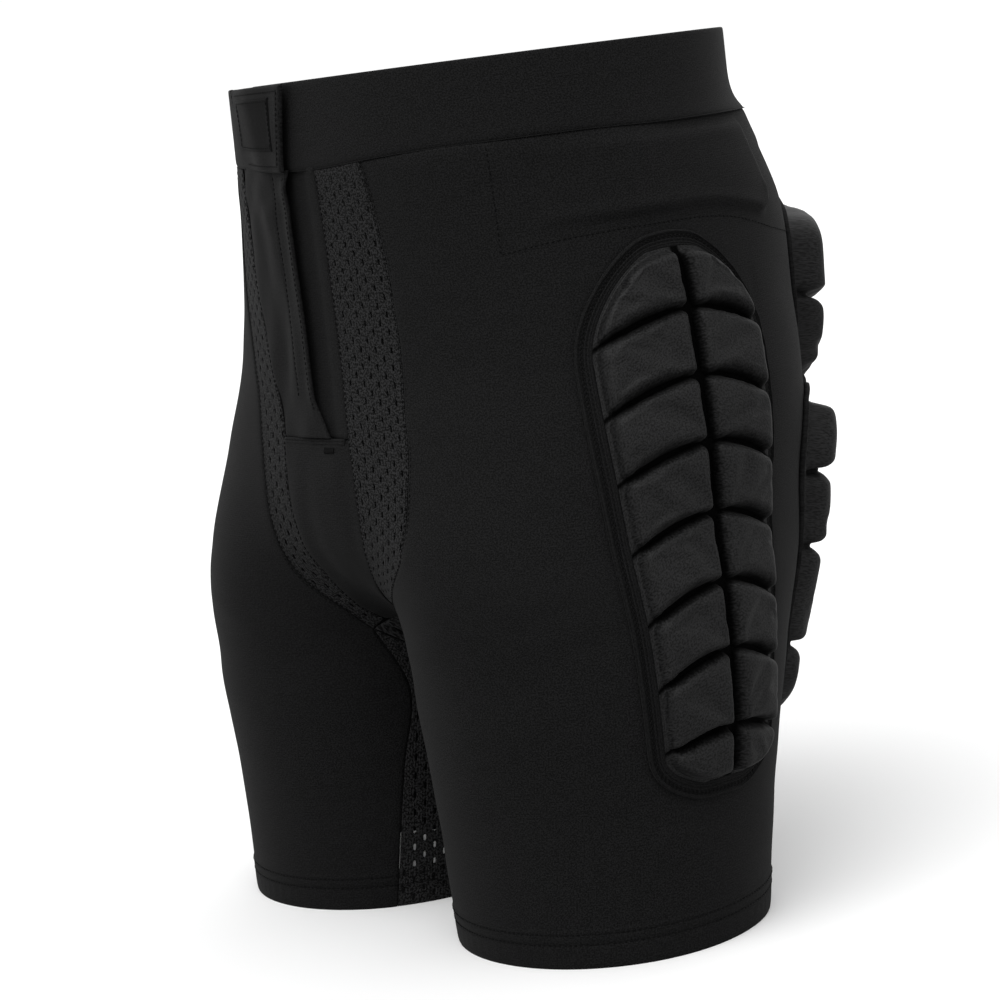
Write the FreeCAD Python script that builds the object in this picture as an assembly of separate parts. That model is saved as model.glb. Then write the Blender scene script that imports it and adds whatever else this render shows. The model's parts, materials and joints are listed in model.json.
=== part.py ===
"""Padded impact shorts: stretch shell, waistband with a wrap-over fly, inner and outer pads.

Millimetres. +Z up, wearer's front towards -Y, wearer's left towards +X.
The origin is at the middle of the box around the garment, on the plane of the leg hems.
"""

import FreeCAD, Part

import math
import os
from functools import lru_cache

Vector = FreeCAD.Vector

# ---- driving dimensions -------------------------------------------------------------------
WAIST_TOP = 431.0  # top edge of the waistband above the hems
WAISTBAND = 40.0  # height of the waistband
SEAM_GAP = 0.6  # room left between pieces that are sewn edge to edge
FABRIC = 1.0  # knitted shell fabric
MIDDLE_Y = 57.7  # from the axis of the leg openings back to the middle of the garment's box

# The body that the shell is cut to fit: height, half width, half depth, centre line y
TORSO = (
    (200, 167, 123, 36),
    (250, 169, 125, 47),
    (296, 161, 122, 54),
    (345, 152, 122, 58),
    (390, 144, 115, 52),
    (433, 141, 111, 49),
)
TORSO_POWER = 2.3  # above 2, so that the sections are slightly boxy
SEAT_LEVEL = 240.0  # the seat starts to round under below this height
CROTCH_LEVEL = 148.0  # lowest point of the seat
SEAT_BLEND = 26.0  # radius where the seat runs into the legs
CROTCH_BLEND = 14.0  # radius of the saddle between the legs
# Each leg: height, centre x, outer half width, inner half width, half depth, centre y
LEG = (
    (0, 94, 80, 79, 77, 1),
    (65, 92, 84, 82, 86, 8),
    (130, 91, 88, 86, 97, 15),
    (200, 86, 84, 82, 110, 29),
    (300, 70, 60, 60, 78, 46),
    (433, 60, 50, 50, 60, 45),
)
# A line inside one half of the body, from which the side panels are laid out
CORE = ((0, 94, 1), (65, 92, 8), (150, 90, 18), (200, 82, 30), (300, 74, 50), (433, 70, 45))

# Edges of the two mesh strips: height, distance from the centre plane
LEFT_STRIP_INNER = ((150, 11), (163, 13), (178, 22), (197, 33), (217, 36), (237, 34),
                    (256, 29), (294, 19.5), (324, 15.5), (358, 13), (391, 11))
LEFT_STRIP_OUTER = ((150, 20), (166, 30), (182, 52), (200, 72), (237, 75), (274, 67),
                    (308, 62), (341, 57), (370, 51), (391, 46))
RIGHT_STRIP_INNER = ((150, 11), (163, 17), (190, 19), (210, 20), (230, 24), (262, 30),
                     (290, 47), (318, 59), (340, 66), (361, 70), (391, 72))
RIGHT_STRIP_OUTER = ((150, 20), (163, 26), (183, 38), (211, 45), (237, 50), (275, 63),
                     (290, 72), (318, 86), (340, 95), (361, 100), (391, 104))

CROTCH_SEAM = 150.0  # height where the strips, the main panels and the gusset meet
CROTCH_RISE = 7.0  # how far the ends of the gusset rise at the centre plane
GUSSET_DIP = 27.0  # how far the gusset's side seams drop between their ends
GUSSET_ARCH = 12.0  # rise of the gusset between its side seams
GUSSET_TAIL = 190.0  # top of the gusset's point, on the centre-back seam
GUSSET_BACK = 22.0  # half width of the gusset where it meets the back of the leg
# Seams of the inner thigh mesh: height, degrees from straight inward
INNER_FRONT = ((0, 36), (75, 32), (115, 29))
INNER_BACK = ((0, 32), (75, 29), (115, 27))

HEM_DEPTH = 20.0  # turned-up hem
HEM_STITCHES = (12.0, 17.0)  # heights of the two rows of cover stitch
THREAD = 1.2  # width of a row of cover stitch
RING_GAP = 0.4  # degrees left open at the inner thigh in anything that runs round a leg

POUCH_SEAM = 256.0  # seam between the fly and the pouch below it
FOLD_TOP_X = -78.0  # the fold line of tab and flap, at the top of the waistband
FOLD_FOOT_X = -20.0  # the same line at the pouch seam
FOLD_ROOM = 1.8  # bare strip each side of the fold line, so that it can turn
FREE_EDGE = ((256, 17), (266, 5), (276, -1), (295, -7), (323, -11), (352, -14), (391, -13), (431, -5))
UNDERLAP = 12.0  # how far the underlap reaches behind the fold line
LEFT_END_X = -40.0  # end of the waistband under the tab
FACING = 13.0  # turned-in edge of the flap
FLAP_FOOT = 1.5  # how far the flap's foot stays above the pouch seam
FACING_FOOT = 22.0  # the same for the turned-in edge, which stops short of the flap's tip
TAB_FOOT = 1.2  # how far the tab's lower edge stays above the waist seam

# Layers, as heights above the outside of the shell fabric
WAIST_OUTER = (-0.8, 0.0)
WAIST_ELASTIC = (-2.1, -0.9)
WAIST_LINING = (-2.9, -2.2)
LOOP_TAPE = (0.1, 0.6)
HOOK_TAPE = (0.75, 1.35)
TAB_LINING = (1.45, 2.05)
TAB_ELASTIC = (2.15, 3.05)
TAB_OUTER = (3.15, 3.95)
LABEL = (4.05, 4.45)
FLAP = (1.5, 2.4)
FLAP_FACING = (0.5, 1.4)
HEM_TURNUP = (-2.2, -1.2)
STITCHING = (0.1, 0.6)
WELT = (0.2, 0.9)
BARTACK = (0.1, 0.9)
UNDERLAP_DROP = 1.4  # the underlap lies this far behind the shell, under the flap

# Flat pieces on the front: left edge, right edge, foot, top
LOOP_TAPE_BOX = (-37, -15, 397, 425)
HOOK_TAPE_BOX = (-36, -16, 398, 424)
LABEL_BOX = (-62, -16, 401, 426)
WELT_BOX = (-28, 27, 253.2, 255.4)
BARTACK_BOX = (11, 19, 249, 251.5)

# Iliac pads, in pockets inside the waist
ILIAC_HEIGHTS = (341.0, 386.0)
ILIAC_ANGLES = (-64.0, 40.0)  # degrees about the core, 0 is straight outward
ILIAC_BORDER = 7.0  # pocket edge to foam edge
ILIAC_FOAM = (-6.2, -1.3)
ILIAC_POCKET = (-7.0, -6.4)

# Outer pads. Each groove between blocks: number, height at the spine, half width, and how far
# the groove's ends lie below its middle
HIP_GROOVES = (
    (0, 81, 33, 2),
    (1, 105.5, 34.5, 5),
    (2, 141, 36.5, 10),
    (3, 173, 38.5, 10.7),
    (4, 206, 40.2, 10.7),
    (5, 239, 41.8, 10.7),
    (6, 270, 43.5, 11.5),
    (7, 302, 45.5, 11),
    (8, 332, 46, 11),
)
HIP_SPINE_Y = (14.3, 0.0934)  # the pad's centre line: where it starts at the foot, and its lean
HIP_REACH = 88.0  # core to surface at the hip
HIP_SKEW = 0.087  # the front blocks are this share of the half width wider than the middle
HIP_TILT = 0.02  # fall of the grooves towards the back
SEAT_GROOVES = (
    (0, 79, 36, 4),
    (1, 119, 42, 5),
    (2, 168, 44, 7),
    (3, 206, 31, 6),
    (4, 244, 17, 6),
)
SEAT_SPINE_X = ((79, 90), (119, 89), (168, 92), (206, 109), (244, 128))  # height, from centre
SEAT_TILT = -0.2  # the grooves rise towards the outside of the thigh
TAIL_GROOVES = (
    (0, 190, 66, -36),
    (1, 222, 93, -38),
    (2, 264, 111, -32),
    (3, 341, 109, -24),
)
TAIL_SPINE_X = ((190, 0), (341, 0))
HIP_ENDS = (24.0, 36.0)  # radii that round off the foot and the top of the outline
SEAT_ENDS = (30.0, 34.0)
TAIL_ENDS = (26.0, 52.0)
BLUNT = 2.0  # how far short of a full arc each end stops
HIP_FOAM = 6.5  # height of the hip pad's blocks
SEAT_FOAM = 12.5
TAIL_FOAM = 17.0
GROOVE_FLOOR = 0.12  # height left in a groove, as a share of the block
BACKING = (0.8, 1.3)
FOAM_BASE = 1.5
FOAM_SKIN = 0.8  # foam left under the grooves
COVER = 0.6
COVER_GAP = 0.25
HIP_BINDING = (3.0, 9.4)  # the bound edge: distances outside the foam's outline
REAR_BINDING = (3.0, 6.8)
BINDING_HEIGHTS = (2.2, 2.2, 2.8, 1.2)  # from its inner edge to its outer one
OUTLINE_SOFTNESS = 4  # how far along the outline each of its points is evened out


# ---- the body form ------------------------------------------------------------------------
def smooth(z, table, column):
    """Cubic curve through the rows of a table, at height z."""
    last = len(table) - 1
    z = min(max(z, table[0][0]), table[last][0])
    i = 0
    while i < last - 1 and z > table[i + 1][0]:
        i += 1

    def slope(k):
        low = max(k - 1, 0)
        high = min(k + 1, last)
        return (table[high][column] - table[low][column]) / (table[high][0] - table[low][0])

    step = table[i + 1][0] - table[i][0]
    t = (z - table[i][0]) / step
    start = (2 * t**3 - 3 * t**2 + 1) * table[i][column] + (t**3 - 2 * t**2 + t) * step * slope(i)
    end = (3 * t**2 - 2 * t**3) * table[i + 1][column] + (t**3 - t**2) * step * slope(i + 1)
    return start + end


@lru_cache(maxsize=None)
def section(z):
    """Sizes of the torso and of a leg at height z."""
    torso_z = max(z, TORSO[0][0])
    torso = tuple(smooth(torso_z, TORSO, i) for i in (1, 2, 3))
    leg = tuple(smooth(z, LEG, i) for i in (1, 2, 3, 4, 5))
    return torso, leg


def blend(a, b, radius):
    """The smaller of two distances, rounded where they meet."""
    h = max(radius - abs(a - b), 0.0) / radius
    return min(a, b) - h * h * radius / 4


def radial(reach, ratio):
    """Distance outside a star-shaped section, negative inside."""
    return reach * (1 - 1 / max(ratio, 1e-6))


def body(x, y, z):
    """Distance outside the body, negative inside."""
    (half_width, half_depth, mid_y), (leg_x, outer, inner, leg_depth, leg_y) = section(z)
    below = max(SEAT_LEVEL - z, 0.0)
    power = TORSO_POWER
    ratio = (
        (abs(x) / half_width) ** power
        + (abs(y - mid_y) / half_depth) ** power
        + (below / (SEAT_LEVEL - CROTCH_LEVEL)) ** power
    ) ** (1 / power)
    torso = radial(math.sqrt(x * x + (y - mid_y) ** 2 + below * below), ratio)

    def leg(side_x):
        dx = side_x - leg_x
        dy = y - leg_y
        half = outer if dx > 0 else inner
        return radial(math.hypot(dx, dy), math.hypot(dx / half, dy / leg_depth))

    return blend(torso, blend(leg(x), leg(-x), CROTCH_BLEND), SEAT_BLEND)


def gradient(p, h=0.5):
    """How fast the distance outside the body grows along each axis."""
    return Vector(
        body(p.x + h, p.y, p.z) - body(p.x - h, p.y, p.z),
        body(p.x, p.y + h, p.z) - body(p.x, p.y - h, p.z),
        body(p.x, p.y, p.z + h) - body(p.x, p.y, p.z - h),
    ) * (0.5 / h)


def outward(p):
    """Unit vector that points straight out of the body at p."""
    return gradient(p).normalize()


def reach(start, direction):
    """Where a level line from inside the body comes out of it, or meets the centre plane."""
    low, high = 0.0, 220.0
    if start.x > 0 and direction.x < 0:
        high = min(high, start.x / -direction.x)
    for _ in range(24):
        middle = (low + high) / 2
        p = start + direction * middle
        if body(p.x, p.y, p.z) < 0:
            low = middle
        else:
            high = middle
    return start + direction * low


def settle(p):
    """Point of the body's surface near p, found along the steepest way to it."""
    for _ in range(10):
        slope = gradient(p)
        p = p - slope * (body(p.x, p.y, p.z) / slope.dot(slope))
    return p


def front(x, z):
    return reach(Vector(x, section(z)[1][4], z), Vector(0, -1, 0))


def back(x, z):
    return reach(Vector(x, section(z)[1][4], z), Vector(0, 1, 0))


def core(z):
    return Vector(smooth(z, CORE, 1), smooth(z, CORE, 2), z)


def around(z, angle):
    """Point of the left half at an angle about its core; 0 is outward, 90 degrees is back."""
    return reach(core(z), Vector(math.cos(angle), math.sin(angle), 0))


def bearing(p):
    """The angle that around() needs to reach p."""
    c = core(p.z)
    return math.atan2(p.y - c.y, p.x - c.x)


def spread(low, high, count):
    """Evenly spaced values from low to high, both included."""
    return [low + (high - low) * i / (count - 1) for i in range(count)]


def mix(a, b, t):
    return a + (b - a) * t


# ---- building sheets ----------------------------------------------------------------------
def with_normals(points, level=False):
    """Pairs each point with its outward normal; level normals keep flat edges flat."""
    rows = []
    for row in points:
        pairs = []
        for p in row:
            n = outward(p)
            if level:
                n = Vector(n.x, n.y, 0).normalize()
            pairs.append((p, n))
        rows.append(pairs)
    return rows


def raised(grid, height):
    """Moves a grid of points out of the body; height is a number or a grid of numbers."""
    rows = []
    for i, row in enumerate(grid):
        heights = height[i] if isinstance(height, list) else [height] * len(row)
        rows.append([p + n * h for (p, n), h in zip(row, heights)])
    return rows


def poles(points):
    """Poles of a cubic spline that passes through a row of points, to within a hair."""
    inner = [
        b * (8 / 6) - (a + c) * (1 / 6) for a, b, c in zip(points, points[1:], points[2:])
    ]
    return [points[0]] + inner + [points[-1]]


def surface(points):
    """Cubic spline surface through a grid of points."""
    rows = [poles(row) for row in points]
    columns = [poles(column) for column in zip(*rows)]
    grid = [list(row) for row in zip(*columns)]
    knots = [list(range(count - 2)) for count in (len(grid), len(grid[0]))]
    mults = [[4] + [1] * (len(k) - 2) + [4] for k in knots]
    spline = Part.BSplineSurface()
    spline.buildFromPolesMultsKnots(grid, *mults, *knots, False, False, 3, 3)
    return spline


def border(spline):
    """The four border curves of a spline surface, as edges."""
    u0, u1, v0, v1 = spline.bounds()
    curves = (spline.uIso(u0), spline.uIso(u1), spline.vIso(v0), spline.vIso(v1))
    return [curve.toShape() for curve in curves]


def side_face(low, high):
    """Face between two border edges; a true plane where both lie on the ground."""
    heights = [p.z for edge in (low, high) for p in edge.discretize(9)]
    if max(heights) > 1e-4:
        return Part.makeRuledSurface(low, high)
    ends = [
        Part.makeLine(low.Vertexes[i].Point, high.Vertexes[i].Point) for i in (0, -1)
    ]
    return Part.Face(Part.Wire(Part.__sortEdges__([low, high] + ends)))


def sheet(grid, low, high):
    """Closed solid between two heights above a grid of surface points."""
    inner = surface(raised(grid, low))
    outer = surface(raised(grid, high))
    faces = [inner.toShape(), outer.toShape()]
    faces += [side_face(a, b) for a, b in zip(border(inner), border(outer))]
    shell = Part.makeShell(faces)
    shell.sewShape()
    solid = Part.makeSolid(shell)
    if solid.Volume < 0:
        solid.reverse()
    return solid


def mirrored(shape):
    """The same piece for the wearer's right side."""
    return shape.mirror(Vector(0, 0, 0), Vector(1, 0, 0))


# ---- shell panels -------------------------------------------------------------------------
def waist_seam():
    return WAIST_TOP - WAISTBAND


def inner_seam(z, table, crotch_point):
    """Bearing of an inner thigh seam at height z, from 180 degrees as straight inward."""
    crotch = 180 - abs(math.degrees(bearing(crotch_point)))
    return math.radians(smooth(z, table + ((CROTCH_SEAM, crotch),), 1))


def crotch_front():
    return front(LEFT_STRIP_OUTER[0][1], CROTCH_SEAM)


def crotch_back():
    return back(GUSSET_BACK, CROTCH_SEAM)


def main_panel(strip_outer):
    """A leg's main panel, from the mesh strip round the side to the centre-back seam."""
    heights = spread(0, CROTCH_SEAM, 11) + spread(CROTCH_SEAM, waist_seam(), 20)[1:]
    rows = []
    for z in heights:
        if z <= CROTCH_SEAM:
            start = inner_seam(z, INNER_FRONT, crotch_front()) - math.pi
            end = math.pi - inner_seam(z, INNER_BACK, crotch_back())
        else:
            start = bearing(front(smooth(z, strip_outer, 1) + SEAM_GAP, z))
            tail = min((z - CROTCH_SEAM) / (GUSSET_TAIL - CROTCH_SEAM), 1)
            end = bearing(back(mix(GUSSET_BACK, 0, tail) + SEAM_GAP, z))
        rows.append([around(z, a) for a in spread(start, end, 41)])
    return sheet(with_normals(rows, level=True), -FABRIC, 0)


def thigh_height(u, v):
    """Height on the inner thigh mesh; u runs front to back, v from the hem to the gusset."""
    return v * CROTCH_SEAM - GUSSET_DIP * math.sin(math.pi * u) * v**2


def thigh_point(u, v, inset=0.0):
    z = thigh_height(u, v)
    start = math.pi + inner_seam(v * CROTCH_SEAM, INNER_FRONT, crotch_front()) - inset
    end = math.pi - inner_seam(v * CROTCH_SEAM, INNER_BACK, crotch_back()) + inset
    return around(z, mix(start, end, u))


def inner_thigh_mesh():
    """The mesh panel on the inside of a leg, from the hem up to the gusset."""
    inset = 2 * SEAM_GAP / HIP_REACH
    top = 1 - SEAM_GAP / CROTCH_SEAM
    rows = []
    for v in spread(0, top, 14):
        rows.append([thigh_point(u, v, inset) for u in spread(0, 1, 13)])
    return sheet(with_normals(rows, level=True), -FABRIC, 0)


def crotch_height(x):
    """Height of the gusset's front seam, which arches between the two strips."""
    half = LEFT_STRIP_OUTER[0][1]
    return CROTCH_SEAM + CROTCH_RISE * max(0.0, 1 - (x / half) ** 2)


def crotch_gusset():
    """The mesh saddle between the legs, with its point on the centre-back seam."""
    across = spread(-0.95, 0.95, 11)
    half = LEFT_STRIP_OUTER[0][1]
    rows = [[front(half * u, crotch_height(half * u) - SEAM_GAP) for u in across]]
    for t in spread(0.12, 0.88, 9):
        edge = thigh_point(t, 1)
        row = []
        for u in across:
            row.append(settle(Vector(edge.x * u, edge.y, edge.z + GUSSET_ARCH * (1 - u * u))))
        rows.append(row)
    for z in spread(CROTCH_SEAM, GUSSET_TAIL, 6):
        half = max(mix(GUSSET_BACK, 0, (z - CROTCH_SEAM) / (GUSSET_TAIL - CROTCH_SEAM)), 0.4)
        rise = CROTCH_RISE * half / GUSSET_BACK
        rows.append([back(half * u, z + rise * (1 - u * u)) for u in across])
    return sheet(with_normals(rows), -FABRIC, 0)


def front_grid(left_edge, right_edge, steps, columns=9):
    """Points on the front of the body between two edges, each (x, z) as a function of t."""
    rows = []
    for t in steps:
        x0, z0 = left_edge(t)
        x1, z1 = right_edge(t)
        rows.append([front(mix(x0, x1, u), mix(z0, z1, u)) for u in spread(0, 1, columns)])
    return with_normals(rows)


def table_edge(table, low, high, shift=0.0, side=1):
    """An edge that follows a table of distances from the centre plane."""

    def edge(t):
        z = mix(low, high, t)
        return side * (smooth(z, table, 1) + shift), z

    return edge


def mesh_strip(inner, outer):
    """A mesh strip from the waist seam down to the gusset."""
    top = waist_seam() - SEAM_GAP
    low = crotch_height(inner[0][1]) + SEAM_GAP
    left = table_edge(inner, low, top, SEAM_GAP)
    right = table_edge(outer, CROTCH_SEAM + SEAM_GAP, top, -SEAM_GAP)
    return sheet(front_grid(left, right, spread(0, 1, 24)), -FABRIC, 0)


def pouch_panel():
    """The pouch below the fly, from the pouch seam down to the gusset."""
    side_low = crotch_height(LEFT_STRIP_INNER[0][1])
    top = POUCH_SEAM - SEAM_GAP
    rows = []
    for t in spread(0, 1, 14):
        level = mix(side_low + SEAM_GAP, top, t)
        right = smooth(level, LEFT_STRIP_INNER, 1)
        left = -smooth(level, RIGHT_STRIP_INNER, 1)
        row = []
        for x in spread(left, right, 11):
            arch = max(0.0, crotch_height(x) - side_low) * (1 - t)
            row.append(front(x, level + arch))
        rows.append(row)
    return sheet(with_normals(rows), -FABRIC, 0)


# ---- fly ----------------------------------------------------------------------------------
def fold_x(z):
    """The fold line of the tab and flap, straight from the waistband's top to the pouch seam."""
    return mix(FOLD_FOOT_X, FOLD_TOP_X, (z - POUCH_SEAM) / (WAIST_TOP - POUCH_SEAM))


def fold_edge(low, high, shift):
    """An edge beside the fold line."""

    def edge(t):
        z = mix(low, high, t)
        return fold_x(z) + shift, z

    return edge


def fly_front_right():
    """The fixed panel between the right mesh strip and the fold line."""
    low, high = POUCH_SEAM + SEAM_GAP, waist_seam() - SEAM_GAP
    left = table_edge(RIGHT_STRIP_INNER, low, high, side=-1)
    right = fold_edge(low, high, -FOLD_ROOM)
    return sheet(front_grid(left, right, spread(0, 1, 14)), -FABRIC, 0)


def fly_underlap():
    """The panel behind the flap, sewn to the left mesh strip."""
    low, high = POUCH_SEAM + SEAM_GAP, waist_seam() - SEAM_GAP
    right = table_edge(LEFT_STRIP_INNER, low, high)
    grid = front_grid(fold_edge(low, high, -UNDERLAP), right, spread(0, 1, 14), 13)
    steps = spread(0, 1, 13)
    drop = [UNDERLAP_DROP * min(1.0, (1 - u) / 0.25) for u in steps]
    return sheet(grid, [[-d - FABRIC for d in drop]] * 14, [[-d for d in drop]] * 14)


def fly_flap():
    """The flap over the fly, from the fold line to its free edge."""
    low, high = POUCH_SEAM + FLAP_FOOT, waist_seam() + SEAM_GAP
    left = fold_edge(low, high, SEAM_GAP)
    right = table_edge(FREE_EDGE, low, high)
    return sheet(front_grid(left, right, spread(0, 1, 14)), *FLAP)


def flap_facing():
    """The turned-in edge of the flap."""
    low, high = POUCH_SEAM + FACING_FOOT, waist_seam() - SEAM_GAP
    left = table_edge(FREE_EDGE, low, high, -FACING)
    right = table_edge(FREE_EDGE, low, high, -FABRIC)
    return sheet(front_grid(left, right, spread(0, 1, 12), 5), *FLAP_FACING)


def front_block(box, layer, columns=7):
    """A flat rectangular piece on the front, between the two heights of a layer."""
    left, right, low, high = box
    rows = []
    for z in spread(low, high, 6):
        rows.append([front(x, z) for x in spread(left, right, columns)])
    return sheet(with_normals(rows), *layer)


def tab_layer(layer):
    """One layer of the waist tab, from the fold line to its free edge."""
    low, high = waist_seam() + TAB_FOOT, WAIST_TOP
    left = fold_edge(low, high, SEAM_GAP)
    right = table_edge(FREE_EDGE, low, high)
    return sheet(front_grid(left, right, spread(0, 1, 6), 11), *layer)


def waistband_layer(layer):
    """One layer of the waistband, from its left end round the back to the fold line."""
    rows = []
    for z in spread(waist_seam(), WAIST_TOP, 6):
        middle = Vector(0, section(z)[1][4], z)
        left = front(LEFT_END_X, z) - middle
        right = front(fold_x(z) - FOLD_ROOM, z) - middle
        start = math.atan2(left.y, left.x)
        end = math.atan2(right.y, right.x) + 2 * math.pi
        angles = spread(start, end, 49)
        rows.append([reach(middle, Vector(math.cos(a), math.sin(a), 0)) for a in angles])
    return sheet(with_normals(rows, level=True), *layer)


# ---- hems and pockets ---------------------------------------------------------------------
def leg_ring(low, high, layer):
    """A ring round one leg between two heights, open by a hair on the inside of the thigh."""
    half_turn = math.radians(180 - RING_GAP)
    rows = []
    for z in spread(low, high, 5):
        rows.append([around(z, a) for a in spread(-half_turn, half_turn, 61)])
    return sheet(with_normals(rows, level=True), *layer)


def hem_stitching():
    """The rows of cover stitch that hold up one hem."""
    rings = [leg_ring(z - THREAD / 2, z + THREAD / 2, STITCHING) for z in HEM_STITCHES]
    return Part.makeCompound(rings)


def side_patch(heights, angles, layer, border=0.0):
    """A patch on the side of the hip; border pulls all four edges in."""
    turn = border / HIP_REACH
    start, end = (math.radians(a) for a in angles)
    rows = []
    for z in spread(heights[0] + border, heights[1] - border, 8):
        rows.append([around(z, a) for a in spread(start + turn, end - turn, 19)])
    return sheet(with_normals(rows), *layer)


# ---- outer pads ---------------------------------------------------------------------------
BLOCK_STEPS = ((0, GROOVE_FLOOR), (0.08, 0.75), (0.2, 1.0), (0.5, 1.04), (0.8, 1.0), (0.92, 0.75))
HALF_STEPS = ((0, GROOVE_FLOOR), (0.06, 0.75), (0.15, 1.0), (0.5, 1.04), (0.84, 1.0), (0.94, 0.7))


def across_steps(columns):
    """Places across a pad and the block height at each, for that many columns a side."""
    steps = []
    for k in range(columns):
        for t, h in HALF_STEPS:
            steps.append(((k + t) / columns, h))
    steps.append((1.0, 0.0))
    left = [(-a, h) for a, h in reversed(steps[1:])]
    return left + steps


def along_steps(grooves):
    """Places along a pad and the block height at each; the two ends run down to nothing."""
    steps = []
    for k in range(len(grooves) - 1):
        steps += [(k + t, h) for t, h in BLOCK_STEPS]
    steps.append((len(grooves) - 1, 0.0))
    steps[0] = (0, 0.0)
    return steps


def rounding(pad, t):
    """Share of a pad's width that its two rounded ends leave."""
    grooves = pad["grooves"]
    z = smooth(t, grooves, 1)
    share = 1.0
    for edge, radius in zip((z - grooves[0][1], grooves[-1][1] - z), pad["ends"]):
        short = max(0.0, 1 - (edge + BLUNT) / radius)
        share *= math.sqrt(1 - short**2)
    return share


def pad_flat(pad, a, t):
    """Place on a pad laid flat, at a across and t along: sideways, and height."""
    share = rounding(pad, t)
    grooves = pad["grooves"]
    s = (a + pad["skew"] * (1 - a * a)) * smooth(t, grooves, 2) * share
    drop = smooth(t, grooves, 3) * (a * share) ** 2
    return s, smooth(t, grooves, 1) - drop - pad["tilt"] * s


def pad_place(pad, a, t):
    return pad["place"](*pad_flat(pad, a, t))


def hip_place(s, z):
    spine_y = HIP_SPINE_Y[0] + HIP_SPINE_Y[1] * (z - HIP_GROOVES[0][1])
    angle = math.atan2(spine_y - core(z).y, HIP_REACH)
    return around(z, angle + s / HIP_REACH)


def rear_place(spine):
    return lambda s, z: back(smooth(z, spine, 1) + s, z)


def evened(ring):
    """Moves each point of a closed ring to the mean of its neighbourhood."""
    count = len(ring)
    near = range(-OUTLINE_SOFTNESS, OUTLINE_SOFTNESS + 1)
    result = []
    for i in range(count):
        group = [ring[(i + k) % count] for k in near]
        result.append(tuple(sum(p[axis] for p in group) / len(group) for axis in (0, 1)))
    return result


def pad_outline(pad, count=240):
    """Evenly spaced points round a pad laid flat, from the middle of its foot."""
    last = len(pad["grooves"]) - 1
    corners = ((0, 0), (1, 0), (1, last), (-1, last), (-1, 0), (0, 0))
    fine = []
    for (a0, t0), (a1, t1) in zip(corners, corners[1:]):
        fine += [pad_flat(pad, mix(a0, a1, u), mix(t0, t1, u)) for u in spread(0, 1, 81)[:-1]]
    fine.append(fine[0])
    run = [0.0]
    for (x0, y0), (x1, y1) in zip(fine, fine[1:]):
        run.append(run[-1] + math.hypot(x1 - x0, y1 - y0))
    ring = []
    i = 0
    for target in spread(0, run[-1], count + 1)[:-1]:
        while run[i + 1] < target:
            i += 1
        u = (target - run[i]) / (run[i + 1] - run[i])
        ring.append((mix(fine[i][0], fine[i + 1][0], u), mix(fine[i][1], fine[i + 1][1], u)))
    return evened(evened(ring))


def pad_binding(pad):
    """The bound edge that runs round a pad, open by a hair at the foot."""
    ring = pad_outline(pad)
    places = ring[::3] + ring[:1]
    count = len(places)
    ahead = ring[1::3] + ring[1:2]
    rows = []
    for grow in spread(*pad["binding"], len(BINDING_HEIGHTS)):
        row = []
        for i, ((s, z), (s1, z1)) in enumerate(zip(places, ahead)):
            length = math.hypot(s1 - s, z1 - z)
            shift = SEAM_GAP / 2 * ((i == 0) - (i == count - 1))
            row.append(
                pad["place"](s + (z1 - z) / length * grow + shift, z - (s1 - s) / length * grow)
            )
        rows.append(row)
    top = [[height] * count for height in BINDING_HEIGHTS]
    return sheet(with_normals(rows), BACKING[0], top)


def outer_pad(name, pad):
    """Backing, moulded foam, cover and bound edge of one pad."""
    along = along_steps(pad["grooves"])
    across = across_steps(pad["columns"])
    grid = with_normals([[pad_place(pad, a, t) for a, _ in across] for t, _ in along])
    base = FOAM_BASE + FOAM_SKIN
    top = [[base + pad["height"] * ha * ht for _, ha in across] for _, ht in along]
    under = [[h + COVER_GAP for h in row] for row in top]
    over = [[h + COVER_GAP + COVER for h in row] for row in top]
    return {
        f"{name}_backing": sheet(grid, *BACKING),
        f"{name}_foam": sheet(grid, FOAM_BASE, top),
        f"{name}_cover": sheet(grid, under, over),
        f"{name}_binding": pad_binding(pad),
    }


HIP_PAD = {
    "grooves": HIP_GROOVES,
    "ends": HIP_ENDS,
    "skew": HIP_SKEW,
    "tilt": HIP_TILT,
    "columns": 1,
    "height": HIP_FOAM,
    "binding": HIP_BINDING,
    "place": hip_place,
}
SEAT_PAD = {
    "grooves": SEAT_GROOVES,
    "ends": SEAT_ENDS,
    "skew": 0.0,
    "tilt": SEAT_TILT,
    "columns": 1,
    "height": SEAT_FOAM,
    "binding": REAR_BINDING,
    "place": rear_place(SEAT_SPINE_X),
}
TAIL_PAD = {
    "grooves": TAIL_GROOVES,
    "ends": TAIL_ENDS,
    "skew": 0.0,
    "tilt": 0.0,
    "columns": 2,
    "height": TAIL_FOAM,
    "binding": REAR_BINDING,
    "place": rear_place(TAIL_SPINE_X),
}


# ---- assembly -----------------------------------------------------------------------------
def both_sides(pieces):
    """Left pieces and their mirror images, named for the two sides."""
    named = {}
    for name, shape in pieces.items():
        named[f"{name}_left"] = shape
        named[f"{name}_right"] = mirrored(shape)
    return named


def shell_pieces():
    return {
        "main_panel_left": main_panel(LEFT_STRIP_OUTER),
        "main_panel_right": mirrored(main_panel(RIGHT_STRIP_OUTER)),
        "mesh_strip_left": mesh_strip(LEFT_STRIP_INNER, LEFT_STRIP_OUTER),
        "mesh_strip_right": mirrored(mesh_strip(RIGHT_STRIP_INNER, RIGHT_STRIP_OUTER)),
        "pouch_panel": pouch_panel(),
        "crotch_gusset": crotch_gusset(),
        "waistband_outer": waistband_layer(WAIST_OUTER),
        "waistband_elastic": waistband_layer(WAIST_ELASTIC),
        "waistband_lining": waistband_layer(WAIST_LINING),
    }


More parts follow.
